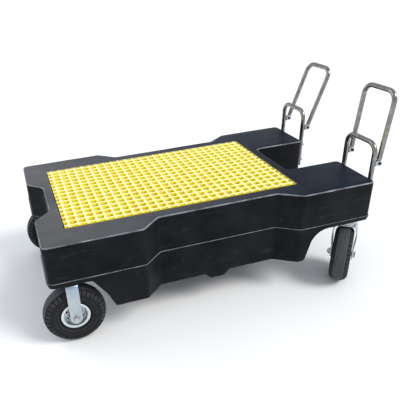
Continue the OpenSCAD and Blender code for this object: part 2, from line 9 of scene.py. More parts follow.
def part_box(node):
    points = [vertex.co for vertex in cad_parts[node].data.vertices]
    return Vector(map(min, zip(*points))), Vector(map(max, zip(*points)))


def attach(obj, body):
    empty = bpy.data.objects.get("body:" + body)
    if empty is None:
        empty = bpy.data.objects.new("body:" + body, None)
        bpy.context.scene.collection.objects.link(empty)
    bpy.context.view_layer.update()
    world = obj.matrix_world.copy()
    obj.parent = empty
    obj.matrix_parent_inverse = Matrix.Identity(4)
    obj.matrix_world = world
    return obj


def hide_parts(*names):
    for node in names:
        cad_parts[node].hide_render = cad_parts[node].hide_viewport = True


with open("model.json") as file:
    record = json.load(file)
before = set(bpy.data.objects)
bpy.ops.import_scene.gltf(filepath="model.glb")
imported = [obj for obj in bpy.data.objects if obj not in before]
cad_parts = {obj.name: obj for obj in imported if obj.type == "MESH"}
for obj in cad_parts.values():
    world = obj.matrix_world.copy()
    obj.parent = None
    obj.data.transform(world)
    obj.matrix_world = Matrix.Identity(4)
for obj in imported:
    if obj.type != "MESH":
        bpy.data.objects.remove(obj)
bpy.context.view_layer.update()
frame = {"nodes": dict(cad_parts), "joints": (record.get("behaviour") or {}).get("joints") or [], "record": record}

# ---------------------------------------------------------------- places and main sizes

JOINTS = {joint["name"]: joint for joint in frame["joints"]}
SIDES = {"left": -1, "right": 1}
DECK_LOW, DECK_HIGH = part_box("deck_shell")
GRATING_LOW, GRATING_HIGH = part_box("grating")
SEAM_OUT = 0.004
FRONT_X = DECK_LOW.x + SEAM_OUT
BACK_X = DECK_HIGH.x - SEAM_OUT
TOP_Z = DECK_HIGH.z
RIB_Z = DECK_LOW.z
SEAT_Z = GRATING_LOW.z - 0.0002
TYRE_R, TYRE_HALF = 0.131, 0.042
STEEL_T = 0.005
FORK_GAPS = {"front": 0.048, "rear": 0.045}


def joint_place(name):
    return Vector(JOINTS[name]["pos_m"]), Vector(JOINTS[name]["axis"])


def wheel_matrix(end, side):
    """Wheel frame: origin at the wheel's middle, Y along the axle to the dolly's middle, Z up."""
    place, axis = joint_place(f"{end}_{side}_wheel_spin")
    inward = axis if axis.y * SIDES[side] < 0 else -axis
    forward = inward.cross(Vector((0, 0, 1)))
    turn = Matrix((forward, inward, Vector((0, 0, 1)))).transposed()
    return Matrix.Translation(place) @ turn.to_4x4()


# ---------------------------------------------------------------- mesh helpers


def link(name, mesh, matrix=None, smooth_angle=30):
    """Makes an object of the mesh, shaded smooth except across edges sharper than the angle."""
    obj = bpy.data.objects.new(name, mesh)
    bpy.context.scene.collection.objects.link(obj)
    if matrix is not None:
        obj.matrix_world = matrix
    if smooth_angle:
        for polygon in mesh.polygons:
            polygon.use_smooth = True
        mesh.set_sharp_from_angle(angle=math.radians(smooth_angle))
    return obj


def mesh_of(bm, name):
    bmesh.ops.remove_doubles(bm, verts=bm.verts, dist=1e-6)
    bmesh.ops.recalc_face_normals(bm, faces=bm.faces)
    mesh = bpy.data.meshes.new(name)
    bm.to_mesh(mesh)
    bm.free()
    return mesh


def finish_piece(obj, material, body, slot, *replaced):
    """Gives a piece its material, parents it to its body's empty and hides the nodes it replaces."""
    obj.data.materials.clear()
    obj.data.materials.append(material)
    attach(obj, body)
    if replaced:
        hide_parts(*replaced)


def replace_node(node, mesh, place, material, body, slot, smooth_angle=30):
    """Shows a mesh, named after one node of the CAD, in that node's place."""
    finish_piece(link(f"{node}_look", mesh, place, smooth_angle), material, body, slot, node)


def add_loft(bm, rings, closed_loft=False, caps=True):
    """Joins rings of equally many points with quads; caps close the two ends."""
    rows = [[bm.verts.new(p) for p in ring] for ring in rings]
    count = len(rows[0])
    pairs = list(zip(rows, rows[1:]))
    if closed_loft:
        pairs.append((rows[-1], rows[0]))
    for a, b in pairs:
        for i in range(count):
            j = (i + 1) % count
            bm.faces.new((a[i], a[j], b[j], b[i]))
    if caps and not closed_loft:
        bm.faces.new(list(reversed(rows[0])))
        bm.faces.new(rows[-1])


def circle_points(r, count, z):
    step = math.tau / count
    return [Vector((r * math.cos(i * step), r * math.sin(i * step), z)) for i in range(count)]


def revolved(profile, count, matrix):
    return [[matrix @ p for p in circle_points(r, count, z)] for r, z in profile]


def add_lathe(bm, profile, count, matrix=Matrix()):
    """Revolves a closed profile of (radius, height) about Z."""
    add_loft(bm, revolved(profile, count, matrix), closed_loft=True)


def add_spun(bm, profile, count, matrix):
    """Revolves an open profile that starts and ends on the axis side, capped flat at both ends."""
    add_loft(bm, revolved(profile, count, matrix))


def rectangle(x0, y0, x1, y1):
    return [(x0, y0), (x1, y0), (x1, y1), (x0, y1)]


def fillet(points, radii, steps=4, closed=True):
    """Rounds the corners of a 2D outline; a radius of 0 leaves a corner sharp."""
    out = []
    count = len(points)
    for i, p in enumerate(points):
        r = radii[i] if isinstance(radii, (list, tuple)) else radii
        if r <= 0 or (not closed and i in (0, count - 1)):
            out.append(tuple(p))
            continue
        here = Vector(p)
        to_a = (Vector(points[i - 1]) - here).normalized()
        to_b = (Vector(points[(i + 1) % count]) - here).normalized()
        half = math.acos(max(-1, min(1, to_a.dot(to_b)))) / 2
        if half > math.radians(89.5):
            out.append(tuple(p))
            continue
        reach = r / math.tan(half)
        centre = here + (to_a + to_b).normalized() * (r / math.sin(half))
        start, end = here + to_a * reach, here + to_b * reach
        a0, a1 = start - centre, end - centre
        turn = a0.angle_signed(a1)
        for k in range(steps + 1):
            a = -turn * k / steps
            out.append((centre.x + a0.x * math.cos(a) - a0.y * math.sin(a),
                        centre.y + a0.x * math.sin(a) + a0.y * math.cos(a)))
    return out


def add_prism(bm, outline, low, high, bevel=0.0, matrix=Matrix()):
    """Extrudes a convex-enough 2D outline from low to high, with rounded rims."""
    rings = []
    marks = [(low, 0.0), (high, 0.0)]
    if bevel > 0:
        turns = (0.0, math.pi / 4, math.pi / 2)
        rounding = [(bevel * (1 - math.cos(a)), bevel * (1 - math.sin(a))) for a in turns]
        marks = [(low + rise, inset) for rise, inset in rounding]
        marks += [(high - rise, inset) for rise, inset in reversed(rounding)]
    for z, inset in marks:
        ring = []
        for p in inset_outline(outline, inset):
            ring.append(matrix @ Vector((p[0], p[1], z)))
        rings.append(ring)
    add_loft(bm, rings)


def inset_outline(outline, distance):
    """Moves each point of a counter-clockwise outline inwards along its corner's bisector."""
    if distance == 0:
        return list(outline)
    out = []
    count = len(outline)
    area = sum(outline[i - 1][0] * outline[i][1] - outline[i][0] * outline[i - 1][1] for i in range(count))
    way = 1 if area > 0 else -1
    for i, p in enumerate(outline):
        a = Vector(p) - Vector(outline[i - 1])
        b = Vector(outline[(i + 1) % count]) - Vector(p)
        a = a.normalized() if a.length > 1e-9 else b.normalized()
        b = b.normalized() if b.length > 1e-9 else a
        normal_a, normal_b = Vector((-a.y, a.x)) * way, Vector((-b.y, b.x)) * way
        mid = normal_a + normal_b
        mid = mid / max(mid.length_squared / 2, 1e-6)
        out.append((p[0] + mid.x * distance, p[1] + mid.y * distance))
    return out


def boolean(obj, other, operation):
    """Applies an exact boolean to obj and removes the other object."""
    modifier = obj.modifiers.new("cut", "BOOLEAN")
    modifier.operation = operation
    modifier.solver = "EXACT"
    modifier.object = other
    depsgraph = bpy.context.evaluated_depsgraph_get()
    mesh = bpy.data.meshes.new_from_object(obj.evaluated_get(depsgraph))
    mesh.name = obj.data.name
    obj.modifiers.clear()
    obj.data = mesh
    bpy.data.objects.remove(other)


# ---------------------------------------------------------------- material helpers


class Nodes:
    """A small wrapper for building a procedural material around one Principled shader."""

    def __init__(self, name, **inputs):
        self.material = bpy.data.materials.new(name)
        self.material.use_nodes = True
        self.tree = self.material.node_tree
        self.shader = self.tree.nodes["Principled BSDF"]
        for key, value in inputs.items():
            self.shader.inputs[key.replace("_", " ").title().replace("Ior", "IOR")].default_value = value
        self.coords = self.tree.nodes.new("ShaderNodeTexCoord").outputs["Object"]

    def add(self, kind, **settings):
        node = self.tree.nodes.new(kind)
        for key, value in settings.items():
            if hasattr(node, key):
                setattr(node, key, value)
            else:
                node.inputs[key.replace("_", " ").title()].default_value = value
        return node

    def join(self, output, socket):
        self.tree.links.new(output, socket)

    def scaled(self, scale):
        node = self.add("ShaderNodeMapping")
        node.inputs["Scale"].default_value = scale
        self.join(self.coords, node.inputs["Vector"])
        return node.outputs["Vector"]

    def noise(self, scale, detail=4.0, roughness=0.55, stretch=None):
        node = self.add("ShaderNodeTexNoise", scale=scale, detail=detail, roughness=roughness)
        self.join(self.scaled(stretch) if stretch else self.coords, node.inputs["Vector"])
        return node.outputs["Fac"]

    def ramp(self, value, stops):
        node = self.add("ShaderNodeValToRGB")
        ramp = node.color_ramp
        while len(ramp.elements) < len(stops):
            ramp.elements.new(0.5)
        for element, (place, colour) in zip(ramp.elements, stops):
            element.position = place
            element.color = (*colour, 1)
        self.join(value, node.inputs["Fac"])
        return node.outputs["Color"]

    def grey(self, value, low, high, out_low, out_high):
        node = self.add("ShaderNodeMapRange")
        for key, number in (("From Min", low), ("From Max", high), ("To Min", out_low), ("To Max", out_high)):
            node.inputs[key].default_value = number
        self.join(value, node.inputs["Value"])
        return node.outputs["Result"]

    def math(self, operation, a, b):
        node = self.add("ShaderNodeMath", operation=operation)
        for socket, value in ((node.inputs[0], a), (node.inputs[1], b)):
            if isinstance(value, (int, float)):
                socket.default_value = value
            else:
                self.join(value, socket)
        return node.outputs[0]

    def mix(self, factor, a, b):
        node = self.add("ShaderNodeMix", data_type="RGBA")
        self.join(factor, node.inputs[0])
        for index, value in ((6, a), (7, b)):
            if isinstance(value, tuple):
                node.inputs[index].default_value = (*value, 1)
            else:
                self.join(value, node.inputs[index])
        return node.outputs[2]

    def split(self, vector, axis):
        """One coordinate of a vector output."""
        node = self.add("ShaderNodeSeparateXYZ")
        self.join(vector, node.inputs[0])
        return node.outputs[axis]

    def geometry(self, name):
        return self.add("ShaderNodeNewGeometry").outputs[name]

    def axle_distance(self):
        """Distance from the object's own Y axis, which is the axle for a wheel's pieces."""
        node = self.add("ShaderNodeVectorMath", operation="LENGTH")
        self.join(self.scaled((1, 0, 1)), node.inputs[0])
        return node.outputs["Value"]

    def colour(self, output):
        self.join(output, self.shader.inputs["Base Color"])

    def rough(self, output):
        self.join(output, self.shader.inputs["Roughness"])

    def bump(self, height, strength, distance, normal=None):
        node = self.add("ShaderNodeBump")
        node.inputs["Strength"].default_value = strength
        node.inputs["Distance"].default_value = distance
        self.join(height, node.inputs["Height"])
        if normal is not None:
            self.join(normal, node.inputs["Normal"])
        self.join(node.outputs["Normal"], self.shader.inputs["Normal"])
        return node.outputs["Normal"]


def edge_wear(nodes):
    """1 on convex edges and 0 elsewhere, broken up by noise."""
    edge = nodes.grey(nodes.geometry("Pointiness"), 0.505, 0.56, 0, 1)
    return nodes.math("MULTIPLY", edge, nodes.grey(nodes.noise(60, 5), 0.35, 0.6, 0.2, 1))


def deck_material():
    """Black rotomoulded polyethylene: satin, orange-peel skin, a painted highlight along the rounded top edges,
    and dust on top mixed with a painted sky reflection: thick and grey at the front end, thin and painted bluish
    on the rear wings."""
    n = Nodes("deck_polyethylene", roughness=0.42, ior=1.5, specular_ior_level=0.09)
    base = n.ramp(n.noise(7, 5, 0.6), [(0.3, (0.002, 0.0022, 0.0028)), (0.7, (0.0095, 0.0105, 0.0140))])
    scuffs = n.grey(n.noise(26, 8, 0.7, stretch=(0.35, 2.2, 1.6)), 0.56, 0.76, 0, 0.55)
    scuffed = n.mix(scuffs, base, (0.040, 0.043, 0.050))
    upward = n.split(n.geometry("Normal"), "Z")
    # Top faces: dust mixed with a painted sky reflection. It is grey at the front end and painted bluish on the
    # rear wings.
    rearward = n.grey(n.split(n.coords, "X"), FRONT_X, BACK_X - 0.30, 0, 1)
    top_dust_and_sky_reflection = n.ramp(rearward, [(0.0, (0.115, 0.115, 0.12)), (0.45, (0.070, 0.074, 0.083)),
                                    (1.0, (0.003, 0.007, 0.020))])
    drifts = n.grey(n.noise(3.2, 6, 0.65), 0.3, 0.7, 0.55, 1)
    # This upward-facing mask carries both the dust and the painted sky reflection.
    dust = n.math("MULTIPLY", n.grey(upward, 0.8, 1.0, 0, 1), drifts)
    dusty = n.mix(dust, scuffed, top_dust_and_sky_reflection)
    # Painted highlight: a pale band along every rounded top edge and the parting ridge, where the normal leans
    # between up and sideways, broken up by noise.
    rim = n.math("MULTIPLY", n.grey(upward, 0.30, 0.55, 0, 1), n.grey(upward, 0.80, 0.96, 1, 0))
    painted_edge_highlight = n.math("MULTIPLY", rim, n.grey(n.noise(17, 6, 0.65), 0.35, 0.65, 0.25, 1))
    n.colour(n.mix(painted_edge_highlight, dusty, (0.30, 0.32, 0.35)))
    patch = n.noise(4.5, 6, 0.6)
    n.rough(n.math("ADD", n.grey(patch, 0.3, 0.7, 0.34, 0.5), n.math("MULTIPLY", scuffs, 0.3)))
    peel = n.bump(n.noise(420, 3, 0.5), 0.12, 0.0006)
    n.bump(n.noise(9, 3, 0.5), 0.5, 0.004, peel)
    return n.material


def frp_material():
    """Yellow glass-fibre moulding: resin-rich, slightly translucent and gritty, with a painted highlight that
    makes its top faces pale, and painted shade that turns its bars brown towards their foot inside the holes."""
    n = Nodes("yellow_moulding", roughness=0.45, ior=1.5, subsurface_weight=0.35, subsurface_scale=0.02)
    n.shader.inputs["Subsurface Radius"].default_value = (1.0, 0.7, 0.2)
    blotch = n.noise(18, 5, 0.6)
    base = n.ramp(blotch, [(0.3, (0.92, 0.70, 0.03)), (0.5, (0.97, 0.80, 0.06)), (0.72, (0.98, 0.86, 0.13))])
    # Painted shade: the bars turn dark reddish-brown towards their foot, standing in for the shade deep inside the
    # holes.
    depth = n.grey(n.split(n.coords, "Z"), GRATING_LOW.z, GRATING_HIGH.z, 1, 0)
    painted_hole_shade = n.ramp(depth, [(0.0, (0, 0, 0)), (0.35, (0.05, 0.05, 0.05)), (0.7, (1, 1, 1))])
    with_painted_hole_shade = n.mix(painted_hole_shade, base, (0.26, 0.08, 0.01))
    # Painted highlight: upward faces are mixed towards a pale cream, broken up by noise.
    top = n.math("MULTIPLY", n.grey(n.split(n.geometry("Normal"), "Z"), 0.7, 0.98, 0, 1),
                 n.grey(n.noise(45, 5, 0.6), 0.3, 0.62, 0.35, 0.95))
    n.colour(n.mix(top, with_painted_hole_shade, (0.98, 0.95, 0.56)))
    n.rough(n.grey(n.noise(130, 4), 0.3, 0.7, 0.36, 0.6))
    n.bump(n.noise(900, 2, 0.5), 0.35, 0.0006)
    return n.material


def tyre_material():
    """Black rubber, greyer with dust in the tread and on the shoulders; the tread face is painted paler and
    bluish, partly dust and partly a painted sheen.
    """
    n = Nodes("tyre_rubber", roughness=0.72, ior=1.5, specular_ior_level=0.2)
    dusty = n.grey(n.noise(22, 7, 0.65), 0.45, 0.78, 0, 0.5)
    base = n.ramp(n.noise(9, 4), [(0.3, (0.004, 0.004, 0.0045)), (0.7, (0.008, 0.008, 0.0085))])
    dust = n.mix(dusty, base, (0.016, 0.016, 0.017))
    # Tread face: a paler bluish grey laid in by radius, partly dust and partly a painted sheen.
    tread_dust_and_sheen = n.grey(n.axle_distance(), TYRE_R - 0.007, TYRE_R - 0.002, 0, 0.75)
    with_tread_dust_and_sheen = n.mix(tread_dust_and_sheen, dust, (0.085, 0.096, 0.104))
    n.colour(n.mix(edge_wear(n), with_tread_dust_and_sheen, (0.085, 0.087, 0.096)))
    n.rough(n.grey(n.noise(30, 5), 0.3, 0.7, 0.55, 0.82))
    n.bump(n.noise(700, 3, 0.6), 0.2, 0.0006)
    return n.material


def zinc_material(name, tint, roughness, painted_sky_band=None, painted_dish_shade=None):
    """Zinc plate with bluish crystals, brushed streaks and stains. A painted sky reflection puts a blue band
    between two heights; painted shade darkens the plate inside a radius about local Y."""
    n = Nodes(name, metallic=1.0, roughness=roughness)
    crystals = n.add("ShaderNodeTexVoronoi", scale=90.0)
    n.join(n.coords, crystals.inputs["Vector"])
    grain = n.ramp(crystals.outputs["Distance"], [(0.0, tuple(c * 0.86 for c in tint)), (0.9, tint)])
    blue = n.grey(n.noise(14, 4, 0.6), 0.45, 0.75, 0, 0.5)
    tinted = n.mix(blue, grain, (tint[0] * 0.72, tint[1] * 0.82, tint[2] * 0.98))
    stain = n.grey(n.noise(33, 7, 0.7), 0.62, 0.8, 0, 0.45)
    surface = n.mix(stain, tinted, (0.30, 0.27, 0.22))
    # Painted reflection: a patchy blue band of sky reflection between two heights.
    if painted_sky_band:
        height = n.grey(n.split(n.coords, "Z"), *painted_sky_band, 0, 0.5)
        patchy_painted_light = n.math("MULTIPLY", height, n.grey(n.noise(30, 4), 0.3, 0.6, 0.5, 1))
        surface = n.mix(patchy_painted_light, surface, (0.16, 0.28, 0.46))
    # Painted shade: the plate darkens inside a radius about local Y, standing in for the shade in the rim's dish.
    if painted_dish_shade:
        inside = n.grey(n.axle_distance(), *painted_dish_shade, 0.8, 0)
        patchy_painted_light = n.math("MULTIPLY", inside, n.grey(n.noise(24, 4, 0.6), 0.3, 0.65, 0.5, 1))
        surface = n.mix(patchy_painted_light, surface, (0.05, 0.046, 0.042))
    n.colour(surface)
    streaks = n.noise(160, 4, 0.6, stretch=(1.0, 1.0, 0.06))
    n.rough(n.math("ADD", n.grey(streaks, 0.3, 0.7, roughness - 0.08, roughness + 0.12),
                   n.math("MULTIPLY", stain, 0.35)))
    n.bump(streaks, 0.08, 0.0005)
    return n.material


def chrome_material():
    """Polished tube with fine draw lines, finger marks and brownish bloom."""
    n = Nodes("polished_tube", metallic=1.0, roughness=0.2)
    bloom = n.grey(n.noise(11, 6, 0.65), 0.45, 0.75, 0, 0.6)
    base = n.ramp(n.noise(50, 4), [(0.3, (0.20, 0.195, 0.185)), (0.7, (0.34, 0.34, 0.335))])
    n.colour(n.mix(bloom, base, (0.15, 0.11, 0.085)))
    n.rough(n.grey(n.noise(24, 6, 0.7), 0.4, 0.75, 0.14, 0.34))
    n.bump(n.noise(300, 3, 0.5, stretch=(1.0, 1.0, 0.05)), 0.05, 0.0004)
    return n.material


def bolt_material():
    n = Nodes("plated_bolt", metallic=1.0, roughness=0.34)
    base = n.ramp(n.noise(120, 5, 0.6), [(0.3, (0.42, 0.42, 0.43)), (0.65, (0.66, 0.67, 0.69))])
    grime = n.grey(n.noise(60, 6, 0.7), 0.5, 0.75, 0, 0.7)
    n.colour(n.mix(grime, base, (0.13, 0.12, 0.11)))
    n.rough(n.grey(n.noise(90, 5), 0.3, 0.7, 0.25, 0.5))
    n.bump(n.noise(500, 3), 0.1, 0.0004)
    return n.material


def dark_bolt_material():
    """Blackened steel with an oily sheen."""
    n = Nodes("blackened_bolt", metallic=1.0, roughness=0.4)
    n.colour(n.ramp(n.noise(140, 5), [(0.3, (0.035, 0.036, 0.04)), (0.7, (0.09, 0.09, 0.095))]))
    n.rough(n.grey(n.noise(90, 5), 0.3, 0.7, 0.28, 0.5))
    n.bump(n.noise(500, 3), 0.1, 0.0004)
    return n.material


def brass_material():
    n = Nodes("brass_insert", metallic=1.0, roughness=0.35)
    n.colour(n.ramp(n.noise(90, 5), [(0.3, (0.45, 0.32, 0.12)), (0.7, (0.72, 0.56, 0.25))]))
    n.rough(n.grey(n.noise(70, 4), 0.3, 0.7, 0.28, 0.5))
    n.bump(n.noise(400, 2), 0.1, 0.0004)
    return n.material


def rubber_material(name, roughness):
    n = Nodes(name, roughness=roughness, ior=1.5)
    n.colour(n.ramp(n.noise(60, 5), [(0.3, (0.012, 0.012, 0.012)), (0.7, (0.03, 0.03, 0.03))]))
    n.rough(n.grey(n.noise(80, 4), 0.3, 0.7, roughness - 0.1, roughness + 0.12))
    n.bump(n.noise(600, 3), 0.15, 0.0004)
    return n.material


DECK = deck_material()
FRP = frp_material()
TYRE = tyre_material()
ZINC = zinc_material("zinc_plate", (0.60, 0.64, 0.66), 0.32)
# The fork gets a painted blue sky reflection near its top bend.
FORK = zinc_material("fork_plate", (0.50, 0.56, 0.58), 0.32, painted_sky_band=(0.09, 0.15))
# The rim's dish gets painted shade inside these radii.
RIM = zinc_material("rim_plate", (0.68, 0.74, 0.75), 0.28, painted_dish_shade=(0.030, 0.044))
CHROME = chrome_material()
BOLT = bolt_material()
DARK_BOLT = dark_bolt_material()
BRASS = brass_material()
TUBE_RUBBER = rubber_material("butyl_rubber", 0.6)
PLUG = rubber_material("black_plug", 0.42)

SLOT_MATERIALS = {
    "deck_plastic": DECK, "grating_frp": FRP, "zinc_steel": ZINC, "rim_steel": RIM, "fastener_steel": BOLT,
    "bearing_steel": BOLT, "handle_tube": CHROME, "tyre_rubber": TYRE, "tube_rubber": TUBE_RUBBER,
    "plug_plastic": PLUG, "brass": BRASS,
}
for row in frame["record"]["subparts"]:
    node = frame["nodes"][row["node"]]
    node.data.materials.clear()
    node.data.materials.append(SLOT_MATERIALS[row["material_slot"]])

# ---------------------------------------------------------------- deck

HALF_FRONT, HALF_WAIST, HALF_WING = 0.434, 0.3625, 0.428
WALL = 0.0065
CORNER_R = 0.024
EDGE_R = 0.009
ENDS_Z = 0.296
PAD_DEPTH, PAD_GAP = 0.004, 0.0015
TRAY_GAP = 0.004
PLATE_X, FRONT_PLATE_Y, REAR_PLATE_Y = 0.059, 0.040, 0.046
PLATE_CORNER_R = 0.010
TUB_Z = 0.149
SEAM_Z, SEAM_H = 0.317, 0.012


def deck_plan():
    """Plan outline, counter-clockwise, symmetric about Y = 0."""
    half = [
        (FRONT_X + 0.068, 0.124), (FRONT_X, 0.192), (FRONT_X, HALF_FRONT), (FRONT_X + 0.397, HALF_FRONT),
        (FRONT_X + 0.476, HALF_WAIST), (BACK_X - 0.445, HALF_WAIST), (BACK_X - 0.354, HALF_WING),
        (BACK_X, HALF_WING), (BACK_X, 0.152), (BACK_X - 0.277, 0.152),
    ]
    return half + [(x, -y) for x, y in reversed(half)]


def deck_side():
    """Side view outline: the arches over the wheels, the tub's flat bottom and its cross rib."""
    foot, rear_foot, rib = FRONT_X + 0.257, FRONT_X + 1.140, FRONT_X + 0.741
    arch_x, arch_r = FRONT_X + 1.246, 0.085
    points = [
        (FRONT_X - 0.05, TOP_Z), (FRONT_X - 0.05, ENDS_Z), (foot - 0.085, ENDS_Z),
        (foot - 0.030, TUB_Z + 0.068), (foot, TUB_Z),
        (rib - 0.059, TUB_Z), (rib - 0.033, RIB_Z), (rib + 0.033, RIB_Z), (rib + 0.059, TUB_Z),
        (rear_foot, TUB_Z),
    ]
    for k in range(9):
        a = math.radians(158 - 68 * k / 8)
        points.append((arch_x + arch_r * math.cos(a), ENDS_Z - arch_r + arch_r * math.sin(a)))
    return points + [(BACK_X + 0.05, ENDS_Z), (BACK_X + 0.05, TOP_Z)]


def prism_object(name, outline, low, high, matrix=Matrix()):
    bm = bmesh.new()
    add_prism(bm, outline, low, high, matrix=matrix)
    return link(name, mesh_of(bm, name), smooth_angle=0)


def round_edges(obj, radius, segments):
    """Rounds every edge that turns by more than 28 degrees."""
    bm = bmesh.new()
    bm.from_mesh(obj.data)
    bmesh.ops.dissolve_limit(bm, angle_limit=math.radians(1), verts=bm.verts, edges=bm.edges)
    sharp = [e for e in bm.edges if e.is_manifold and e.calc_face_angle(0) > math.radians(28)]
    bmesh.ops.bevel(bm, geom=sharp, offset=radius, offset_type="OFFSET", segments=segments, profile=0.5,
                    affect="EDGES", clamp_overlap=False)
    bm.to_mesh(obj.data)
    bm.free()


def slice_at(bm, axis, way, place, **options):
    """Cuts the whole mesh along a plane across one axis."""
    normal = Vector((0, 0, 0))
    normal[axis] = way
    geometry = bm.verts[:] + bm.edges[:] + bm.faces[:]
    return bmesh.ops.bisect_plane(bm, geom=geometry, plane_co=place, plane_no=normal, **options)


def slice_grid(bm, low, high, step):
    """Cuts a mesh along planes a step apart on each axis, so that it can be bent."""
    for axis in range(3):
        count = int((high[axis] - low[axis]) / step)
        for k in range(1, count + 1):
            place = Vector((0, 0, 0))
            place[axis] = low[axis] + k * step
            slice_at(bm, axis, 1, place, dist=1e-5)


def make_deck():
    side_turn = Matrix(((1, 0, 0, 0), (0, 0, -1, 0), (0, 1, 0, 0), (0, 0, 0, 1)))
    deck = prism_object("deck_moulding", fillet(deck_plan(), CORNER_R, 6), RIB_Z - 0.01, TOP_Z)
    boolean(deck, prism_object("side_cut", deck_side(), -0.6, 0.6, side_turn), "INTERSECT")
    round_edges(deck, EDGE_R, 4)
    bm = bmesh.new()
    bm.from_mesh(deck.data)
    slice_grid(bm, Vector((FRONT_X, -HALF_FRONT, RIB_Z)), Vector((BACK_X, HALF_FRONT, TOP_Z)), 0.045)
    bm.normal_update()
    for vert in bm.verts:
        wave = noise.noise(vert.co * 5.0) * 0.0011 + noise.noise(vert.co * 13.0) * 0.0004
        vert.co += vert.normal * wave
    bmesh.ops.triangulate(bm, faces=[f for f in bm.faces if len(f.verts) > 4])
    bm.to_mesh(deck.data)
    bm.free()
    inner_plan = fillet(inset_outline(deck_plan(), WALL), CORNER_R - WALL, 3)
    hollow = prism_object("hollow", inner_plan, RIB_Z, TOP_Z - WALL)
    inner_side = inset_outline(deck_side(), WALL)
    boolean(hollow, prism_object("hollow_side", inner_side, -0.6, 0.6, side_turn), "INTERSECT")
    boolean(hollow, tray("tray_outside", WALL + TRAY_GAP, SEAT_Z - WALL, TOP_Z, 0), "DIFFERENCE")
    boolean(hollow, plate_pads("pad_walls", PAD_GAP + WALL, PAD_DEPTH + WALL), "DIFFERENCE")
    boolean(deck, hollow, "DIFFERENCE")
    boolean(deck, plate_pads("pad_recesses", PAD_GAP, PAD_DEPTH), "DIFFERENCE")
    boolean(deck, tray("tray_inside", TRAY_GAP, SEAT_Z, TOP_Z + 0.01, 0.005), "DIFFERENCE")
    boolean(deck, tray("sump_mouth", -0.030, GRATING_LOW.z - 0.02, GRATING_LOW.z + 0.01, 0), "DIFFERENCE")
    return deck


def plate_pads(name, margin, rise):
    """Cutter over the recesses that the four caster plates sit in."""
    bm = bmesh.new()
    for side in SIDES:
        for joint, half_y in (("front_{}_wheel_spin", FRONT_PLATE_Y), ("rear_{}_swivel", REAR_PLATE_Y)):
            place = joint_place(joint.format(side))[0]
            x, y = PLATE_X + margin, half_y + margin
            outline = fillet(rectangle(-x, -y, x, y), PLATE_CORNER_R, 4)
            spot = Matrix.Translation((place.x, place.y, 0))
            add_prism(bm, outline, ENDS_Z - 0.01, ENDS_Z + rise, matrix=spot)
    return link(name, mesh_of(bm, name), smooth_angle=0)


def tray(name, margin, low, high, flare):
    """Cutter over the grating's outline; flare rounds the lip where it leaves the deck's top."""
    x0, x1 = GRATING_LOW.x - margin, GRATING_HIGH.x + margin
    y0, y1 = GRATING_LOW.y - margin, GRATING_HIGH.y + margin
    outline = fillet(rectangle(x0, y0, x1, y1), 0.006, 4)
    marks = [(low, 0.0), (high, 0.0)]
    if flare:
        marks = [(low, 0.0)]
        for k in range(6):
            a = math.pi / 2 * k / 5
            marks.append((TOP_Z - flare + flare * math.sin(a), flare * (1 - math.cos(a))))
        marks.append((high, flare))
    bm = bmesh.new()
    add_loft(bm, [[Vector((x, y, z)) for x, y in inset_outline(outline, -out)] for z, out in marks])
    return link(name, mesh_of(bm, name), smooth_angle=0)


def make_seam():
    """Parting ridge: a rounded bead that follows the plan of the deck."""
    bm = bmesh.new()
    plan = fillet(deck_plan(), CORNER_R, 6)
    section = []
    for k in range(9):
        a = math.pi * (k / 8 - 0.5)
        bulge = max(math.cos(a), 0.0) ** 0.7
        section.append((SEAM_OUT * 0.92 * bulge, SEAM_H / 2 * math.sin(a)))
    section = [(-0.004, -SEAM_H / 2)] + section + [(-0.004, SEAM_H / 2)]
    rings = []
    for out, up in section:
        rings.append([Vector((x, y, SEAM_Z + up)) for x, y in inset_outline(plan, -out)])
    add_loft(bm, rings, closed_loft=True)
    return link("parting_ridge", mesh_of(bm, "parting_ridge"))


deck = make_deck()
for polygon in deck.data.polygons:
    polygon.use_smooth = True
deck.data.set_sharp_from_angle(angle=math.radians(32))
finish_piece(deck, DECK, "deck", "deck_plastic", "deck_shell")
finish_piece(make_seam(), DECK, "deck", "deck_plastic")

# ---------------------------------------------------------------- grating

PITCH = 0.038
BAR_TOP, BAR_FOOT = 0.0085, 0.0065
HOLE_CORNER = 0.007


def hole_ring(size, corner, z):
    half = size / 2
    return [Vector((x, y, z)) for x, y in fillet(rectangle(-half, -half, half, half), corner)]


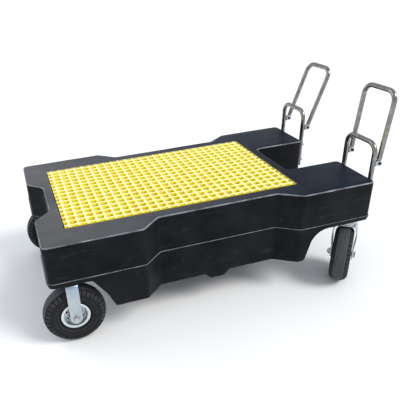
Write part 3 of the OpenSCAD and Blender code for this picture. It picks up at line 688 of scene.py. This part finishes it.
def make_grating():
    """Moulded mesh: tapered bars with rounded tops, rounded holes, and short stubs all round."""
    bars_x = round((GRATING_HIGH.x - GRATING_LOW.x) / PITCH)
    bars_y = round((GRATING_HIGH.y - GRATING_LOW.y) / PITCH)
    low, high = GRATING_LOW.z, GRATING_HIGH.z
    top, foot = PITCH - BAR_TOP, PITCH - BAR_FOOT
    rings = [
        hole_ring(PITCH, 0.00001, high - 0.0006),
        hole_ring(top + 0.0035, HOLE_CORNER + 0.0012, high),
        hole_ring(top + 0.0014, HOLE_CORNER + 0.0006, high - 0.0004),
        hole_ring(top, HOLE_CORNER, high - 0.0022),
        hole_ring(foot, HOLE_CORNER, low + 0.001),
        hole_ring(foot + 0.002, HOLE_CORNER, low),
        hole_ring(PITCH, 0.00001, low),
    ]
    cell = bmesh.new()
    add_loft(cell, rings, caps=False)
    cell_mesh = bpy.data.meshes.new("cell")
    cell.to_mesh(cell_mesh)
    cell.free()
    bm = bmesh.new()
    for i in range(bars_x + 1):
        for j in range(bars_y + 1):
            first = len(bm.verts)
            bm.from_mesh(cell_mesh)
            bm.verts.ensure_lookup_table()
            shift = Vector((GRATING_LOW.x + i * PITCH, GRATING_LOW.y + j * PITCH, 0))
            for vert in bm.verts[first:]:
                vert.co += shift
    bmesh.ops.remove_doubles(bm, verts=bm.verts, dist=1e-5)
    for axis in (0, 1):
        for bound, way in ((GRATING_LOW, -1), (GRATING_HIGH, 1)):
            cut = slice_at(bm, axis, way, bound, clear_outer=True)
            loops = [g for g in cut["geom_cut"] if isinstance(g, bmesh.types.BMEdge)]
            bmesh.ops.contextual_create(bm, geom=loops)
    bmesh.ops.recalc_face_normals(bm, faces=bm.faces)
    mesh = bpy.data.meshes.new("moulded_grating")
    bm.to_mesh(mesh)
    bm.free()
    return link("moulded_grating", mesh, smooth_angle=40)


finish_piece(make_grating(), FRP, "grating_lift", "grating_frp", "grating")

# ---------------------------------------------------------------- wheels

WHEELS = [(end, side) for end in ("front", "rear") for side in ("left", "right")]
OUTBOARD = Matrix.Rotation(math.radians(90), 4, "X")
SECTION_R = 0.093
TYRE_T = 0.007
TREAD_REPEATS = 36
TREAD_PHASES = (0.0, 0.07, 0.30, 0.37, 0.5, 0.66, 0.84)
GROOVES = tuple((place, 0.0013) for place in (-0.0255, -0.0153, -0.0051, 0.0051, 0.0153, 0.0255))
GROOVE_DEPTH = 0.0032


def tyre_section(angle, shrink=0.0):
    """Point (radius, outboard) of the squarish section; 0 is the outboard side, 90 the tread."""
    s, c = math.sin(math.radians(angle)), math.cos(math.radians(angle))
    up = math.copysign(abs(s) ** 0.8, s) * (TYRE_R - SECTION_R - shrink)
    out = math.copysign(abs(c) ** 0.8, c) * (TYRE_HALF - shrink)
    return SECTION_R + up, out


def tread_angle(out):
    """Section angle at which the tyre's surface is at the given outboard distance."""
    c = math.copysign(abs(out / TYRE_HALF) ** 1.25, out)
    return math.degrees(math.acos(c))


def tread_rows():
    """Rows across one tyre: (section angle, depth, zigzag share, slot depth)."""
    rows = []
    for angle, depth, slot in ((-36, 0, 0), (-28, 0, 0), (-20, 0, 0), (-17, 0.0007, 0), (-14, 0.0007, 0),
                               (-11, 0, 0), (-4, 0, 0), (2, 0, 0), (5, 0.0005, 0), (8, 0.0005, 0),
                               (11, 0, 0), (12, 0, 0), (14, 0, 0.0016), (22, 0, 0.0022), (30, 0, 0.0026),
                               (38, 0, 0.0030), (45, 0, 0.0030), (51, 0, 0.0030)):
        rows.append((angle, depth, 0.0, slot))
    rows.append((tread_angle(0.0272), 0.0, 1.0, 0.0))
    middle = []
    for centre, half in sorted(GROOVES, reverse=True):
        for share, depth in ((1, 0), (0.55, 1), (-0.55, 1), (-1, 0)):
            middle.append((tread_angle(centre + half * share), depth * GROOVE_DEPTH, 1.0, 0.0))
        if centre > GROOVES[0][0]:
            middle.append((tread_angle(centre - 0.0051), 0.0, 1.0, 0.0))
    other = [(180 - angle, depth, zig, slot) for angle, depth, zig, slot in reversed(rows)]
    return rows + middle + other


def tread_ring(points):
    """One ring of the tyre, from its (radius, outboard) at each phase of the tread's repeat."""
    ring = []
    for repeat in range(TREAD_REPEATS):
        for phase, (r, out) in zip(TREAD_PHASES, points):
            turn = math.tau * (repeat + phase) / TREAD_REPEATS
            ring.append(Vector((r * math.cos(turn), r * math.sin(turn), out)))
    return ring


def patterned_points(angle, depth, zig, slot):
    """The outer surface at a section angle, cut in by a groove or, between two phases, by a slot."""
    slope = math.radians(angle)
    points = []
    for phase in TREAD_PHASES:
        shift = 0.0
        if zig:
            wave = 4 * abs(phase - 0.5) - 1
            shift = tread_angle(tyre_section(angle)[1] - 0.0012 * wave) - angle
        cut = depth
        if slot and TREAD_PHASES[1] <= phase <= TREAD_PHASES[2]:
            cut += slot
        r, out = tyre_section(angle + shift)
        points.append((r - cut * math.sin(slope), out - cut * math.cos(slope)))
    return points


def make_tyre_mesh():
    """Pneumatic tyre: zigzag grooves, slotted shoulders, rings on the sidewalls, open inside."""
    rings = [tread_ring(patterned_points(*row)) for row in tread_rows()]
    bead = [(0.0621, 0.0290), (0.0519, 0.0286), (0.0519, 0.020)]
    inside = [(r, -out) for r, out in bead]
    inside += [tyre_section(215 - 250 * k / 12, TYRE_T) for k in range(13)]
    inside += reversed(bead)
    rings += [tread_ring([point] * len(TREAD_PHASES)) for point in inside]
    bm = bmesh.new()
    add_loft(bm, rings, closed_loft=True)
    bm.transform(OUTBOARD)
    return mesh_of(bm, "tyre")


def rim_profile():
    """Half rim as a pressed sheet with a rolled flange and half of the hub, (radius, outboard)."""
    outer = [(0.0160, 0.0), (0.0440, 0.0), (0.0440, 0.0080), (0.0505, 0.0140), (0.0515, 0.0290),
             (0.0610, 0.0305), (0.0610, 0.0335)]
    inner = [(0.0490, 0.0335), (0.0465, 0.0145), (0.0410, 0.0085), (0.0410, 0.0030), (0.0270, 0.0030),
             (0.0210, 0.0200), (0.0210, 0.0380), (0.0175, 0.0380), (0.0175, 0.0272), (0.0160, 0.0272)]
    radii = [0, 0.0015, 0.002, 0.002, 0.0025, 0.001, 0.0014,
             0.0028, 0.003, 0.003, 0.0022, 0.004, 0.005, 0.001, 0.0006, 0.0004, 0]
    return fillet(outer + inner, radii, 3)


def make_rim_mesh(way):
    bm = bmesh.new()
    profile = [(r, out * way) for r, out in rim_profile()]
    add_lathe(bm, profile, 96, OUTBOARD)
    return mesh_of(bm, "rim_half")


def hexagon_ring(r, height, grow=1.0):
    ring = []
    for k in range(24):
        a = math.tau * k / 24
        flat = r * math.cos(math.pi / 6) / math.cos((a % (math.pi / 3)) - math.pi / 6)
        ring.append(Vector((flat * grow * math.cos(a), flat * grow * math.sin(a), height)))
    return ring


def add_hexagon(bm, r, low, high, matrix, hole=0.0):
    """Chamfered hexagon head, or nut when it has a hole; the chamfered face is the high one."""
    flat_r = r * math.cos(math.pi / 6)
    chamfer = (r - flat_r) * 0.55
    way = 1 if high > low else -1
    corner = []
    for p in hexagon_ring(r, high):
        drop = chamfer * (p.xy.length - flat_r * 0.97) / (r - flat_r * 0.97)
        corner.append(Vector((p.x, p.y, high - way * max(drop, 0.0) * 1.6)))
    rings = [hexagon_ring(r, low, 0.99), hexagon_ring(r, low + way * 0.0003), corner]
    rings.append(circle_points(flat_r * 0.955, 24, high))
    if hole:
        rings += [circle_points(hole + 0.0008, 24, high), circle_points(hole, 24, high - way * 0.0008)]
        rings += [circle_points(hole, 24, low)]
    else:
        rings += [circle_points(flat_r * 0.82, 24, high)]
        rings += [circle_points(flat_r * 0.78, 24, high - way * 0.0003)]
    add_loft(bm, [[matrix @ p for p in ring] for ring in rings], closed_loft=bool(hole))


def add_thread(bm, r, low, high, matrix, pitch):
    """Threaded shank end with a chamfered point."""
    way = 1 if high > low else -1
    turns = max(1, round(abs(high - low) / pitch) - 1)
    profile = [(r * 0.9, low)]
    for k in range(turns):
        at = low + way * pitch * k
        profile += [(r, at + way * pitch * 0.35), (r, at + way * pitch * 0.6), (r * 0.9, at + way * pitch)]
    profile.append((r * 0.78, high))
    add_spun(bm, profile, 20, matrix)


def add_washer(bm, hole, r, low, high, matrix):
    edge = min(0.0004, abs(high - low) / 3) * (1 if high > low else -1)
    inner_r = r - abs(edge)
    profile = [(hole, low), (inner_r, low), (r, low + edge), (r, high - edge), (inner_r, high), (hole, high)]
    add_lathe(bm, profile, 32, matrix)


def make_rim_bolts_mesh():
    r, head_r, seat, face = 0.0029, 0.00577, 0.0032, 0.0072
    bm = bmesh.new()
    for k in range(4):
        place = Matrix.Rotation(math.radians(45 + 90 * k), 4, "Z") @ Matrix.Translation((0.035, 0, 0))
        matrix = OUTBOARD @ place
        add_hexagon(bm, head_r, seat, face, matrix)
        add_hexagon(bm, head_r, -seat, -face, matrix, r)
        add_thread(bm, r, 0.0, -face - 0.002, matrix, 0.001)
    return mesh_of(bm, "rim_bolts")


def make_axle_mesh(gap):
    """Axle bolt: head outboard, lock nut inboard, washers, and sleeves beside the hub."""
    face = gap + STEEL_T
    seat = face + 0.002
    bm = bmesh.new()
    add_hexagon(bm, 0.01385, seat, seat + 0.009, OUTBOARD)
    add_hexagon(bm, 0.01385, -seat, -seat - 0.009, OUTBOARD, 0.0079)
    add_thread(bm, 0.0078, -seat + 0.001, -seat - 0.0129, OUTBOARD, 0.002)
    add_spun(bm, [(0.0079, -seat), (0.0079, seat)], 32, OUTBOARD)
    for way in (-1, 1):
        add_washer(bm, 0.0081, 0.0150, way * face, way * seat, OUTBOARD)
        add_washer(bm, 0.0081, 0.0120, way * 0.0383, way * (gap - 0.0001), OUTBOARD)
    return mesh_of(bm, "axle")


def mirrored(mesh):
    copy = mesh.copy()
    copy.transform(Matrix.Diagonal((-1, 1, 1, 1)))
    copy.flip_normals()
    return copy


def build_wheels():
    tyre = make_tyre_mesh()
    rims = {"outer": make_rim_mesh(1), "inner": make_rim_mesh(-1)}
    bolts = make_rim_bolts_mesh()
    axles = {end: make_axle_mesh(gap) for end, gap in FORK_GAPS.items()}
    for end, side in WHEELS:
        name = f"{end}_{side}"
        place = wheel_matrix(end, side)
        body = f"{name}_wheel"
        replace_node(f"{name}_tyre", tyre, place, TYRE, body, "tyre_rubber", 24)
        for half, mesh in rims.items():
            replace_node(f"{name}_rim_{half}", mesh, place, RIM, body, "rim_steel", 35)
        replace_node(f"{name}_rim_bolts", bolts, place, BOLT, body, "fastener_steel")
        holder = "deck" if end == "front" else f"{name}_swivel"
        replace_node(f"{name}_axle", axles[end], place, BOLT, holder, "fastener_steel")


# ---------------------------------------------------------------- forks

STRAP_EDGE_R = 0.0009
LEG_HALF = 0.025
AXLE_Z = TYRE_R
PLATE_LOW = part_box("front_left_fork")[1].z - 0.006
TRAIL = 0.045
CROWN_Z, CROWN_R = 0.276, 0.045


def add_strap(bm, stations, thickness):
    """Sweeps a flat bar: each station is (middle, across unit vector, half width, normal)."""
    half_t = thickness / 2
    rings = []
    for middle, across, half_w, normal in stations:
        e = min(STRAP_EDGE_R, half_w * 0.45)
        outline = []
        for su, sv, phase in ((1, 1, 0), (-1, 1, 90), (-1, -1, 180), (1, -1, 270)):
            for k in range(3):
                a = math.radians(phase + 45 * k)
                outline.append((su * (half_w - e) + e * math.cos(a), sv * (half_t - e) + e * math.sin(a)))
        rings.append([middle + across * u + normal * v for u, v in outline])
    add_loft(bm, rings)


def path_stations(path, span):
    """Stations along a 2D path of (y, z); span gives the (low, high) reach in x at each point."""
    across = Vector((1, 0, 0))
    stations = []
    for i, (y, z) in enumerate(path):
        before, after = path[max(i - 1, 0)], path[min(i + 1, len(path) - 1)]
        along = Vector((0, after[0] - before[0], after[1] - before[1])).normalized()
        low, high = span(y, z)
        middle = Vector(((low + high) / 2, y, z))
        stations.append((middle, across, max((high - low) / 2, 0.0012), along.cross(across)))
    return stations


def rounded_ends(path_half):
    """Adds closely spaced points where the leg rounds off below the axle."""
    y = path_half[0][0]
    return [(y, -LEG_HALF * math.sin(math.radians(88 * k / 7))) for k in range(7, 0, -1)] + path_half


def add_plate(bm, half_x, half_y, low, high):
    outline = fillet(rectangle(-half_x, -half_y, half_x, half_y), PLATE_CORNER_R, 5)
    add_prism(bm, outline, low, high, 0.0008)


def make_rigid_fork_mesh():
    """Top plate and a strap bent down on both sides of the wheel, in the wheel's frame."""
    y = FORK_GAPS["front"] + STEEL_T / 2
    top = PLATE_LOW - AXLE_Z - STEEL_T / 2
    half = [(-y, 0.0), (-y, 0.03), (-y, 0.07), (-y, 0.11), (-y, top)]
    path = rounded_ends(half) + [(-p, z) for p, z in reversed(rounded_ends(half))]
    corner_at = [i for i, p in enumerate(path) if p[1] == top]
    radii = [0.013 if i in corner_at else 0 for i in range(len(path))]
    path = fillet(path, radii, 6, closed=False)

    def span(_, z):
        reach = LEG_HALF if z >= 0 else math.sqrt(max(LEG_HALF ** 2 - z ** 2, 0))
        return -reach, reach

    bm = bmesh.new()
    add_strap(bm, path_stations(path, span), STEEL_T)
    add_plate(bm, PLATE_X, FRONT_PLATE_Y, PLATE_LOW - AXLE_Z, PLATE_LOW - AXLE_Z + 0.006)
    for way in (-1, 1):
        x, z = way * (LEG_HALF + 0.001), PLATE_LOW - AXLE_Z - 0.001
        weld = [Vector((x, t, z)) for t in spaced(-0.038, 0.038, 26)]
        add_weld(bm, weld, 0.0022)
    return mesh_of(bm, "rigid_fork")


def spaced(low, high, count):
    return [low + (high - low) * k / (count - 1) for k in range(count)]


def add_weld(bm, points, radius):
    """Weld bead: a lumpy round bar along the points."""
    rings = []
    for i, p in enumerate(points):
        before, after = points[max(i - 1, 0)], points[min(i + 1, len(points) - 1)]
        along = (after - before).normalized()
        side = along.orthogonal().normalized()
        up = along.cross(side)
        r = radius * (0.82 + 0.3 * (i % 2)) * (1 + 0.25 * noise.noise(p * 900))
        ring = []
        for k in range(8):
            a = math.tau * k / 8
            ring.append(p + side * r * math.cos(a) + up * r * math.sin(a))
        rings.append(ring)
    add_loft(bm, rings)


def make_swivel_fork_mesh():
    """Pressed fork with a crown round the swivel axis and two bowed legs, in the wheel's frame."""
    top = CROWN_Z - AXLE_Z - 0.003
    middle = FORK_GAPS["rear"] + STEEL_T / 2
    wide = middle + 0.005
    half = [(-middle, 0.0), (-middle, 0.025), (-wide, 0.075), (-wide, 0.106), (-middle + 0.005, top)]
    left = rounded_ends(half)
    path = left + [(-p, z) for p, z in reversed(left)]
    radii = [0.013 if p[1] == top else 0.03 if p[1] in (0.025, 0.075, 0.106) else 0 for p in path]
    path = fillet(path, radii, 5, closed=False)

    def span(_, z):
        if z < 0:
            reach = math.sqrt(max(LEG_HALF ** 2 - z ** 2, 0))
            return -reach, reach
        share = min(z / top, 1.0)
        back, front = TRAIL - CROWN_R, TRAIL + CROWN_R
        return -LEG_HALF + (back + LEG_HALF) * share, LEG_HALF + (front - LEG_HALF) * share

    bm = bmesh.new()
    add_strap(bm, path_stations(path, span), STEEL_T)
    turn = Matrix.Translation((TRAIL, 0, 0))
    race = [(0.024, 0.0015), (0.040, 0.0015), (0.040, 0.0075), (0.0375, 0.012), (0.0345, 0.012),
            (0.033, 0.0085), (0.031, 0.0085), (0.0295, 0.012), (0.026, 0.012), (0.024, 0.010)]
    add_lathe(bm, [(r, top + z) for r, z in fillet(race, 0.0008, 2)], 64, turn)
    return mesh_of(bm, "swivel_fork")


def make_top_plate_mesh():
    """Plate bolted under the deck with the upper ball race hanging from it, on the swivel axis."""
    low = PLATE_LOW
    bm = bmesh.new()
    add_plate(bm, PLATE_X, REAR_PLATE_Y, low, low + 0.006)
    race = [(0.024, 0.0), (0.024, -0.007), (0.0275, -0.0085), (0.030, -0.0085), (0.0305, -0.006),
            (0.0335, -0.006), (0.034, -0.0085), (0.038, -0.0085), (0.0405, -0.004), (0.0425, 0.0)]
    add_lathe(bm, [(r, low + z) for r, z in fillet(race, 0.0007, 2)], 64)
    return mesh_of(bm, "top_plate")


def build_forks():
    rigid = make_rigid_fork_mesh()
    swivel = make_swivel_fork_mesh()
    plate = make_top_plate_mesh()
    for side in SIDES:
        replace_node(f"front_{side}_fork", rigid, wheel_matrix("front", side), FORK, "deck", "zinc_steel")
        mesh = swivel if side == "left" else mirrored(swivel)
        place = wheel_matrix("rear", side)
        replace_node(f"rear_{side}_fork", mesh, place, ZINC, f"rear_{side}_swivel", "zinc_steel")
        axis = joint_place(f"rear_{side}_swivel")[0]
        place = Matrix.Translation((axis.x, axis.y, 0))
        replace_node(f"rear_{side}_top_plate", plate, place, ZINC, "deck", "zinc_steel")


# ---------------------------------------------------------------- handles

TUBE_R, TUBE_WALL, BEND_R = 0.011, 0.0015, 0.045
HOOP_LOW, HOOP_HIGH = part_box("left_hoop")
LEG_Y = (HOOP_HIGH.y - HOOP_LOW.y) / 2 - TUBE_R
HOOP_X = (HOOP_LOW.x + HOOP_HIGH.x) / 2
PIVOT = joint_place("left_handle_fold")[0]
HANDLE_Y = abs(PIVOT.y)
PIVOT_OUT = PIVOT.x - HOOP_X
CLEVIS_HALF, CLEVIS_R = 0.0093, 0.012
M8_R, M8_HEAD_R, M8_HEAD_H = 0.0039, 0.0075, 0.0053
SWING_L = 0.306
LEAN = {"left": 5, "right": 20}
BOLT_HEIGHTS = (0.366, 0.452)


def u_path(low, top):
    """Middle line of a bent tube, with points close enough for its straight stretches to shade well."""
    path = [(-LEG_Y, low), (-LEG_Y, top), (LEG_Y, top), (LEG_Y, low)]
    bent = fillet(path, [0, BEND_R, BEND_R, 0], 10, closed=False)
    filled = []
    for a, b in zip(bent, bent[1:]):
        pieces = max(1, round(math.dist(a, b) / 0.03))
        step_x, step_y = (b[0] - a[0]) / pieces, (b[1] - a[1]) / pieces
        filled += [(a[0] + step_x * k, a[1] + step_y * k) for k in range(pieces)]
    return filled + [bent[-1]]


def add_tube(bm, path, r, wall):
    """Bent tube with open, softened ends, along a 2D path of (y, z)."""
    across = Vector((1, 0, 0))
    sides = 28
    frames = [(middle, normal) for middle, _, _, normal in path_stations(path, lambda *_: (0, 0))]

    def ring(index, radius):
        middle, normal = frames[index]
        points = []
        for k in range(sides):
            a = math.tau * k / sides
            points.append(middle + (across * math.cos(a) + normal * math.sin(a)) * radius)
        return points

    last = len(frames) - 1
    outer = [ring(0, r - 0.0005), *[ring(i, r) for i in range(last + 1)], ring(last, r - 0.0005)]
    inner = [ring(i, r - wall) for i in range(last, -1, -1)]
    add_loft(bm, outer + inner, closed_loft=True)


def make_hoop_mesh():
    bm = bmesh.new()
    add_tube(bm, u_path(HOOP_LOW.z, HOOP_HIGH.z - TUBE_R), TUBE_R, TUBE_WALL)
    return mesh_of(bm, "hoop")


def make_swing_mesh():
    """Folding handle upright in the pivot's frame: bent tube, plugged ends, lug tabs and welds."""
    bm = bmesh.new()
    low = 0.018
    add_tube(bm, u_path(low, SWING_L), TUBE_R, TUBE_WALL)
    for way in (-1, 1):
        foot = Matrix.Translation((0, way * LEG_Y, 0))
        plug = [(0.0085, low + 0.008), (0.0094, low + 0.0005), (0.0082, low), (0.0070, low)]
        add_spun(bm, plug, 28, foot)
        turns = [math.radians(a) for a in range(-180, 1, 12)]
        tab = [(0.011 * math.cos(a), 0.011 * math.sin(a)) for a in turns]
        tab += [(0.011, low + 0.003), (-0.011, low + 0.003)]
        turn = Matrix(((1, 0, 0, 0), (0, 0, 1, way * LEG_Y), (0, 1, 0, 0), (0, 0, 0, 1)))
        add_prism(bm, tab, -0.003, 0.003, 0.0005, turn)
        for face in (-1, 1):
            bead = [foot @ Vector((t, face * 0.0035, low + 0.0002)) for t in spaced(-0.0095, 0.0095, 12)]
            add_weld(bm, bead, 0.0012)
    return mesh_of(bm, "swing_handle")


def make_clevis_mesh():
    """Two bent clevises with weld beads down the hoop's legs, in the hoop's frame."""
    back = TUBE_R + 0.0023
    y = CLEVIS_HALF - 0.002
    tip = [PIVOT_OUT + CLEVIS_R * math.sin(math.radians(86 * k / 6)) for k in range(7)]
    points = [(x, y) for x in reversed(tip)] + [(back, y), (back, -y)] + [(x, -y) for x in tip]
    radii = [0.004 if p[0] == back else 0 for p in points]
    path = fillet(points, radii, 4, closed=False)
    bm = bmesh.new()
    for way in (-1, 1):
        centre = Vector((0, way * LEG_Y, PIVOT.z))
        stations = []
        for i, (x, side) in enumerate(path):
            before, after = path[max(i - 1, 0)], path[min(i + 1, len(path) - 1)]
            along = Vector((after[0] - before[0], after[1] - before[1], 0)).normalized()
            reach = CLEVIS_R
            if x > PIVOT_OUT:
                reach = math.sqrt(max(CLEVIS_R ** 2 - (x - PIVOT_OUT) ** 2, 1e-7))
            up = Vector((0, 0, 1))
            stations.append((centre + Vector((x, side, 0)), up, reach, along.cross(up)))
        add_strap(bm, stations, 0.004)
        for face in (-1, 1):
            bead = [centre + Vector((TUBE_R + 0.0004, face * 0.0062, t)) for t in spaced(-0.012, 0.012, 14)]
            add_weld(bm, bead, 0.0017)
    return mesh_of(bm, "clevises")


def pivot_frames():
    """Pivot bolt frames in the hoop's frame: Z runs out along the bolt from the middle of a leg."""
    for way in (-1, 1):
        place = Matrix.Translation((PIVOT_OUT, way * LEG_Y, PIVOT.z))
        yield place @ Matrix.Rotation(math.radians(-90 * way), 4, "X")


def make_pivot_heads_mesh():
    bm = bmesh.new()
    half = CLEVIS_HALF
    for matrix in pivot_frames():
        add_hexagon(bm, M8_HEAD_R, half, half + M8_HEAD_H, matrix)
        add_spun(bm, [(M8_R, -half - 0.004), (M8_R, half)], 24, matrix)
        add_hexagon(bm, 0.0070, -half, -half - 0.0063, matrix, M8_R)
        add_thread(bm, M8_R, -half - 0.004, -half - 0.0089, matrix, 0.00125)
    return mesh_of(bm, "pivot_heads")


def make_pivot_washers_mesh():
    bm = bmesh.new()
    for matrix in pivot_frames():
        for way in (-1, 1):
            add_washer(bm, 0.0041, 0.0100, way * 0.0074, way * CLEVIS_HALF, matrix)
    return mesh_of(bm, "pivot_washers")


def make_hoop_bolts_mesh():
    bm = bmesh.new()
    for way in (-1, 1):
        for z in BOLT_HEIGHTS:
            place = Matrix.Translation((0, way * LEG_Y, z)) @ Matrix.Rotation(math.radians(90), 4, "Y")
            seat = TUBE_R + 0.0002
            add_hexagon(bm, M8_HEAD_R, seat, seat + M8_HEAD_H, place)
            add_spun(bm, [(M8_R, seat), (M8_R, seat - 0.047)], 24, place)
    return mesh_of(bm, "hoop_bolts")


def build_handles():
    meshes = {
        "hoop": (make_hoop_mesh(), CHROME, "handle_tube"),
        "clevises": (make_clevis_mesh(), ZINC, "zinc_steel"),
        "hoop_bolts": (make_hoop_bolts_mesh(), BOLT, "fastener_steel"),
    }
    heads = make_pivot_heads_mesh()
    washers = make_pivot_washers_mesh()
    swing = make_swing_mesh()
    for side, way in SIDES.items():
        place = Matrix.Translation((HOOP_X, way * HANDLE_Y, 0))
        for node, (mesh, material, slot) in meshes.items():
            replace_node(f"{side}_{node}", mesh, place, material, "deck", slot)
        piece = link(f"{side}_pivot_heads_look", heads, place)
        finish_piece(piece, DARK_BOLT, "deck", "fastener_steel", f"{side}_pivot_bolts")
        piece = link(f"{side}_pivot_washers_look", washers, place)
        finish_piece(piece, ZINC, "deck", "fastener_steel")
        pivot = joint_place(f"{side}_handle_fold")[0]
        turn = Matrix.Translation(pivot) @ Matrix.Rotation(math.radians(LEAN[side]), 4, "Y")
        replace_node(f"{side}_swing_handle", swing, turn, CHROME, f"{side}_handle", "handle_tube")


build_wheels()
build_forks()
build_handles()

# ---------------------------------------------------------------- stage, light, camera


def make_stage():
    bm = bmesh.new()
    size = 60.0
    corners = rectangle(-size, -size, size, size)
    add_loft(bm, [[Vector((x, y, z)) for x, y in corners] for z in (-0.02, 0.0)])
    floor = link("floor", mesh_of(bm, "floor"), smooth_angle=0)
    n = Nodes("floor_paint", roughness=0.9)
    n.colour(n.ramp(n.noise(0.8, 3), [(0.3, (0.90, 0.90, 0.90)), (0.7, (0.92, 0.92, 0.92))]))
    floor.data.materials.append(n.material)
    world = bpy.data.worlds.new("studio")
    bpy.context.scene.world = world
    world.use_nodes = True
    background = world.node_tree.nodes["Background"]
    background.inputs["Color"].default_value = (0.90, 0.94, 1.0, 1)
    background.inputs["Strength"].default_value = 0.8
    bpy.context.scene.view_settings.view_transform = "Standard"


def add_light(name, kind, energy, colour, place, target):
    light = bpy.data.lights.new(name, kind)
    light.energy = energy
    light.color = colour
    obj = bpy.data.objects.new(name, light)
    obj.location = place
    obj.rotation_euler = (Vector(target) - Vector(place)).to_track_quat("-Z", "Y").to_euler()
    bpy.context.scene.collection.objects.link(obj)
    return light


def make_lights():
    """A large soft sun as the key light, which lights the whole floor evenly, and a weak fill."""
    key = add_light("key", "SUN", 2.1, (1.0, 0.985, 0.955), (0.55, -0.45, 0.70), (0, 0, 0))
    key.angle = math.radians(26)
    fill = add_light("fill", "AREA", 35, (0.90, 0.95, 1.0), (-3.2, 1.6, 3.0), (0, 0, 0.35))
    fill.shape = "RECTANGLE"
    fill.size, fill.size_y = 2.5, 2.0


def make_camera():
    camera = bpy.data.cameras.new("camera")
    camera.sensor_width = 36
    camera.lens = 42.073
    camera.shift_x = 0.1328
    camera.shift_y = 0.0635
    camera.clip_end = 200
    obj = bpy.data.objects.new("camera", camera)
    obj.location = (-0.7970, -2.0102, 1.4068)
    obj.rotation_euler = Euler([math.radians(a) for a in (59.758, 3.067, -17.417)], "XYZ")
    bpy.context.scene.collection.objects.link(obj)
    bpy.context.scene.camera = obj


make_stage()
make_lights()
make_camera()
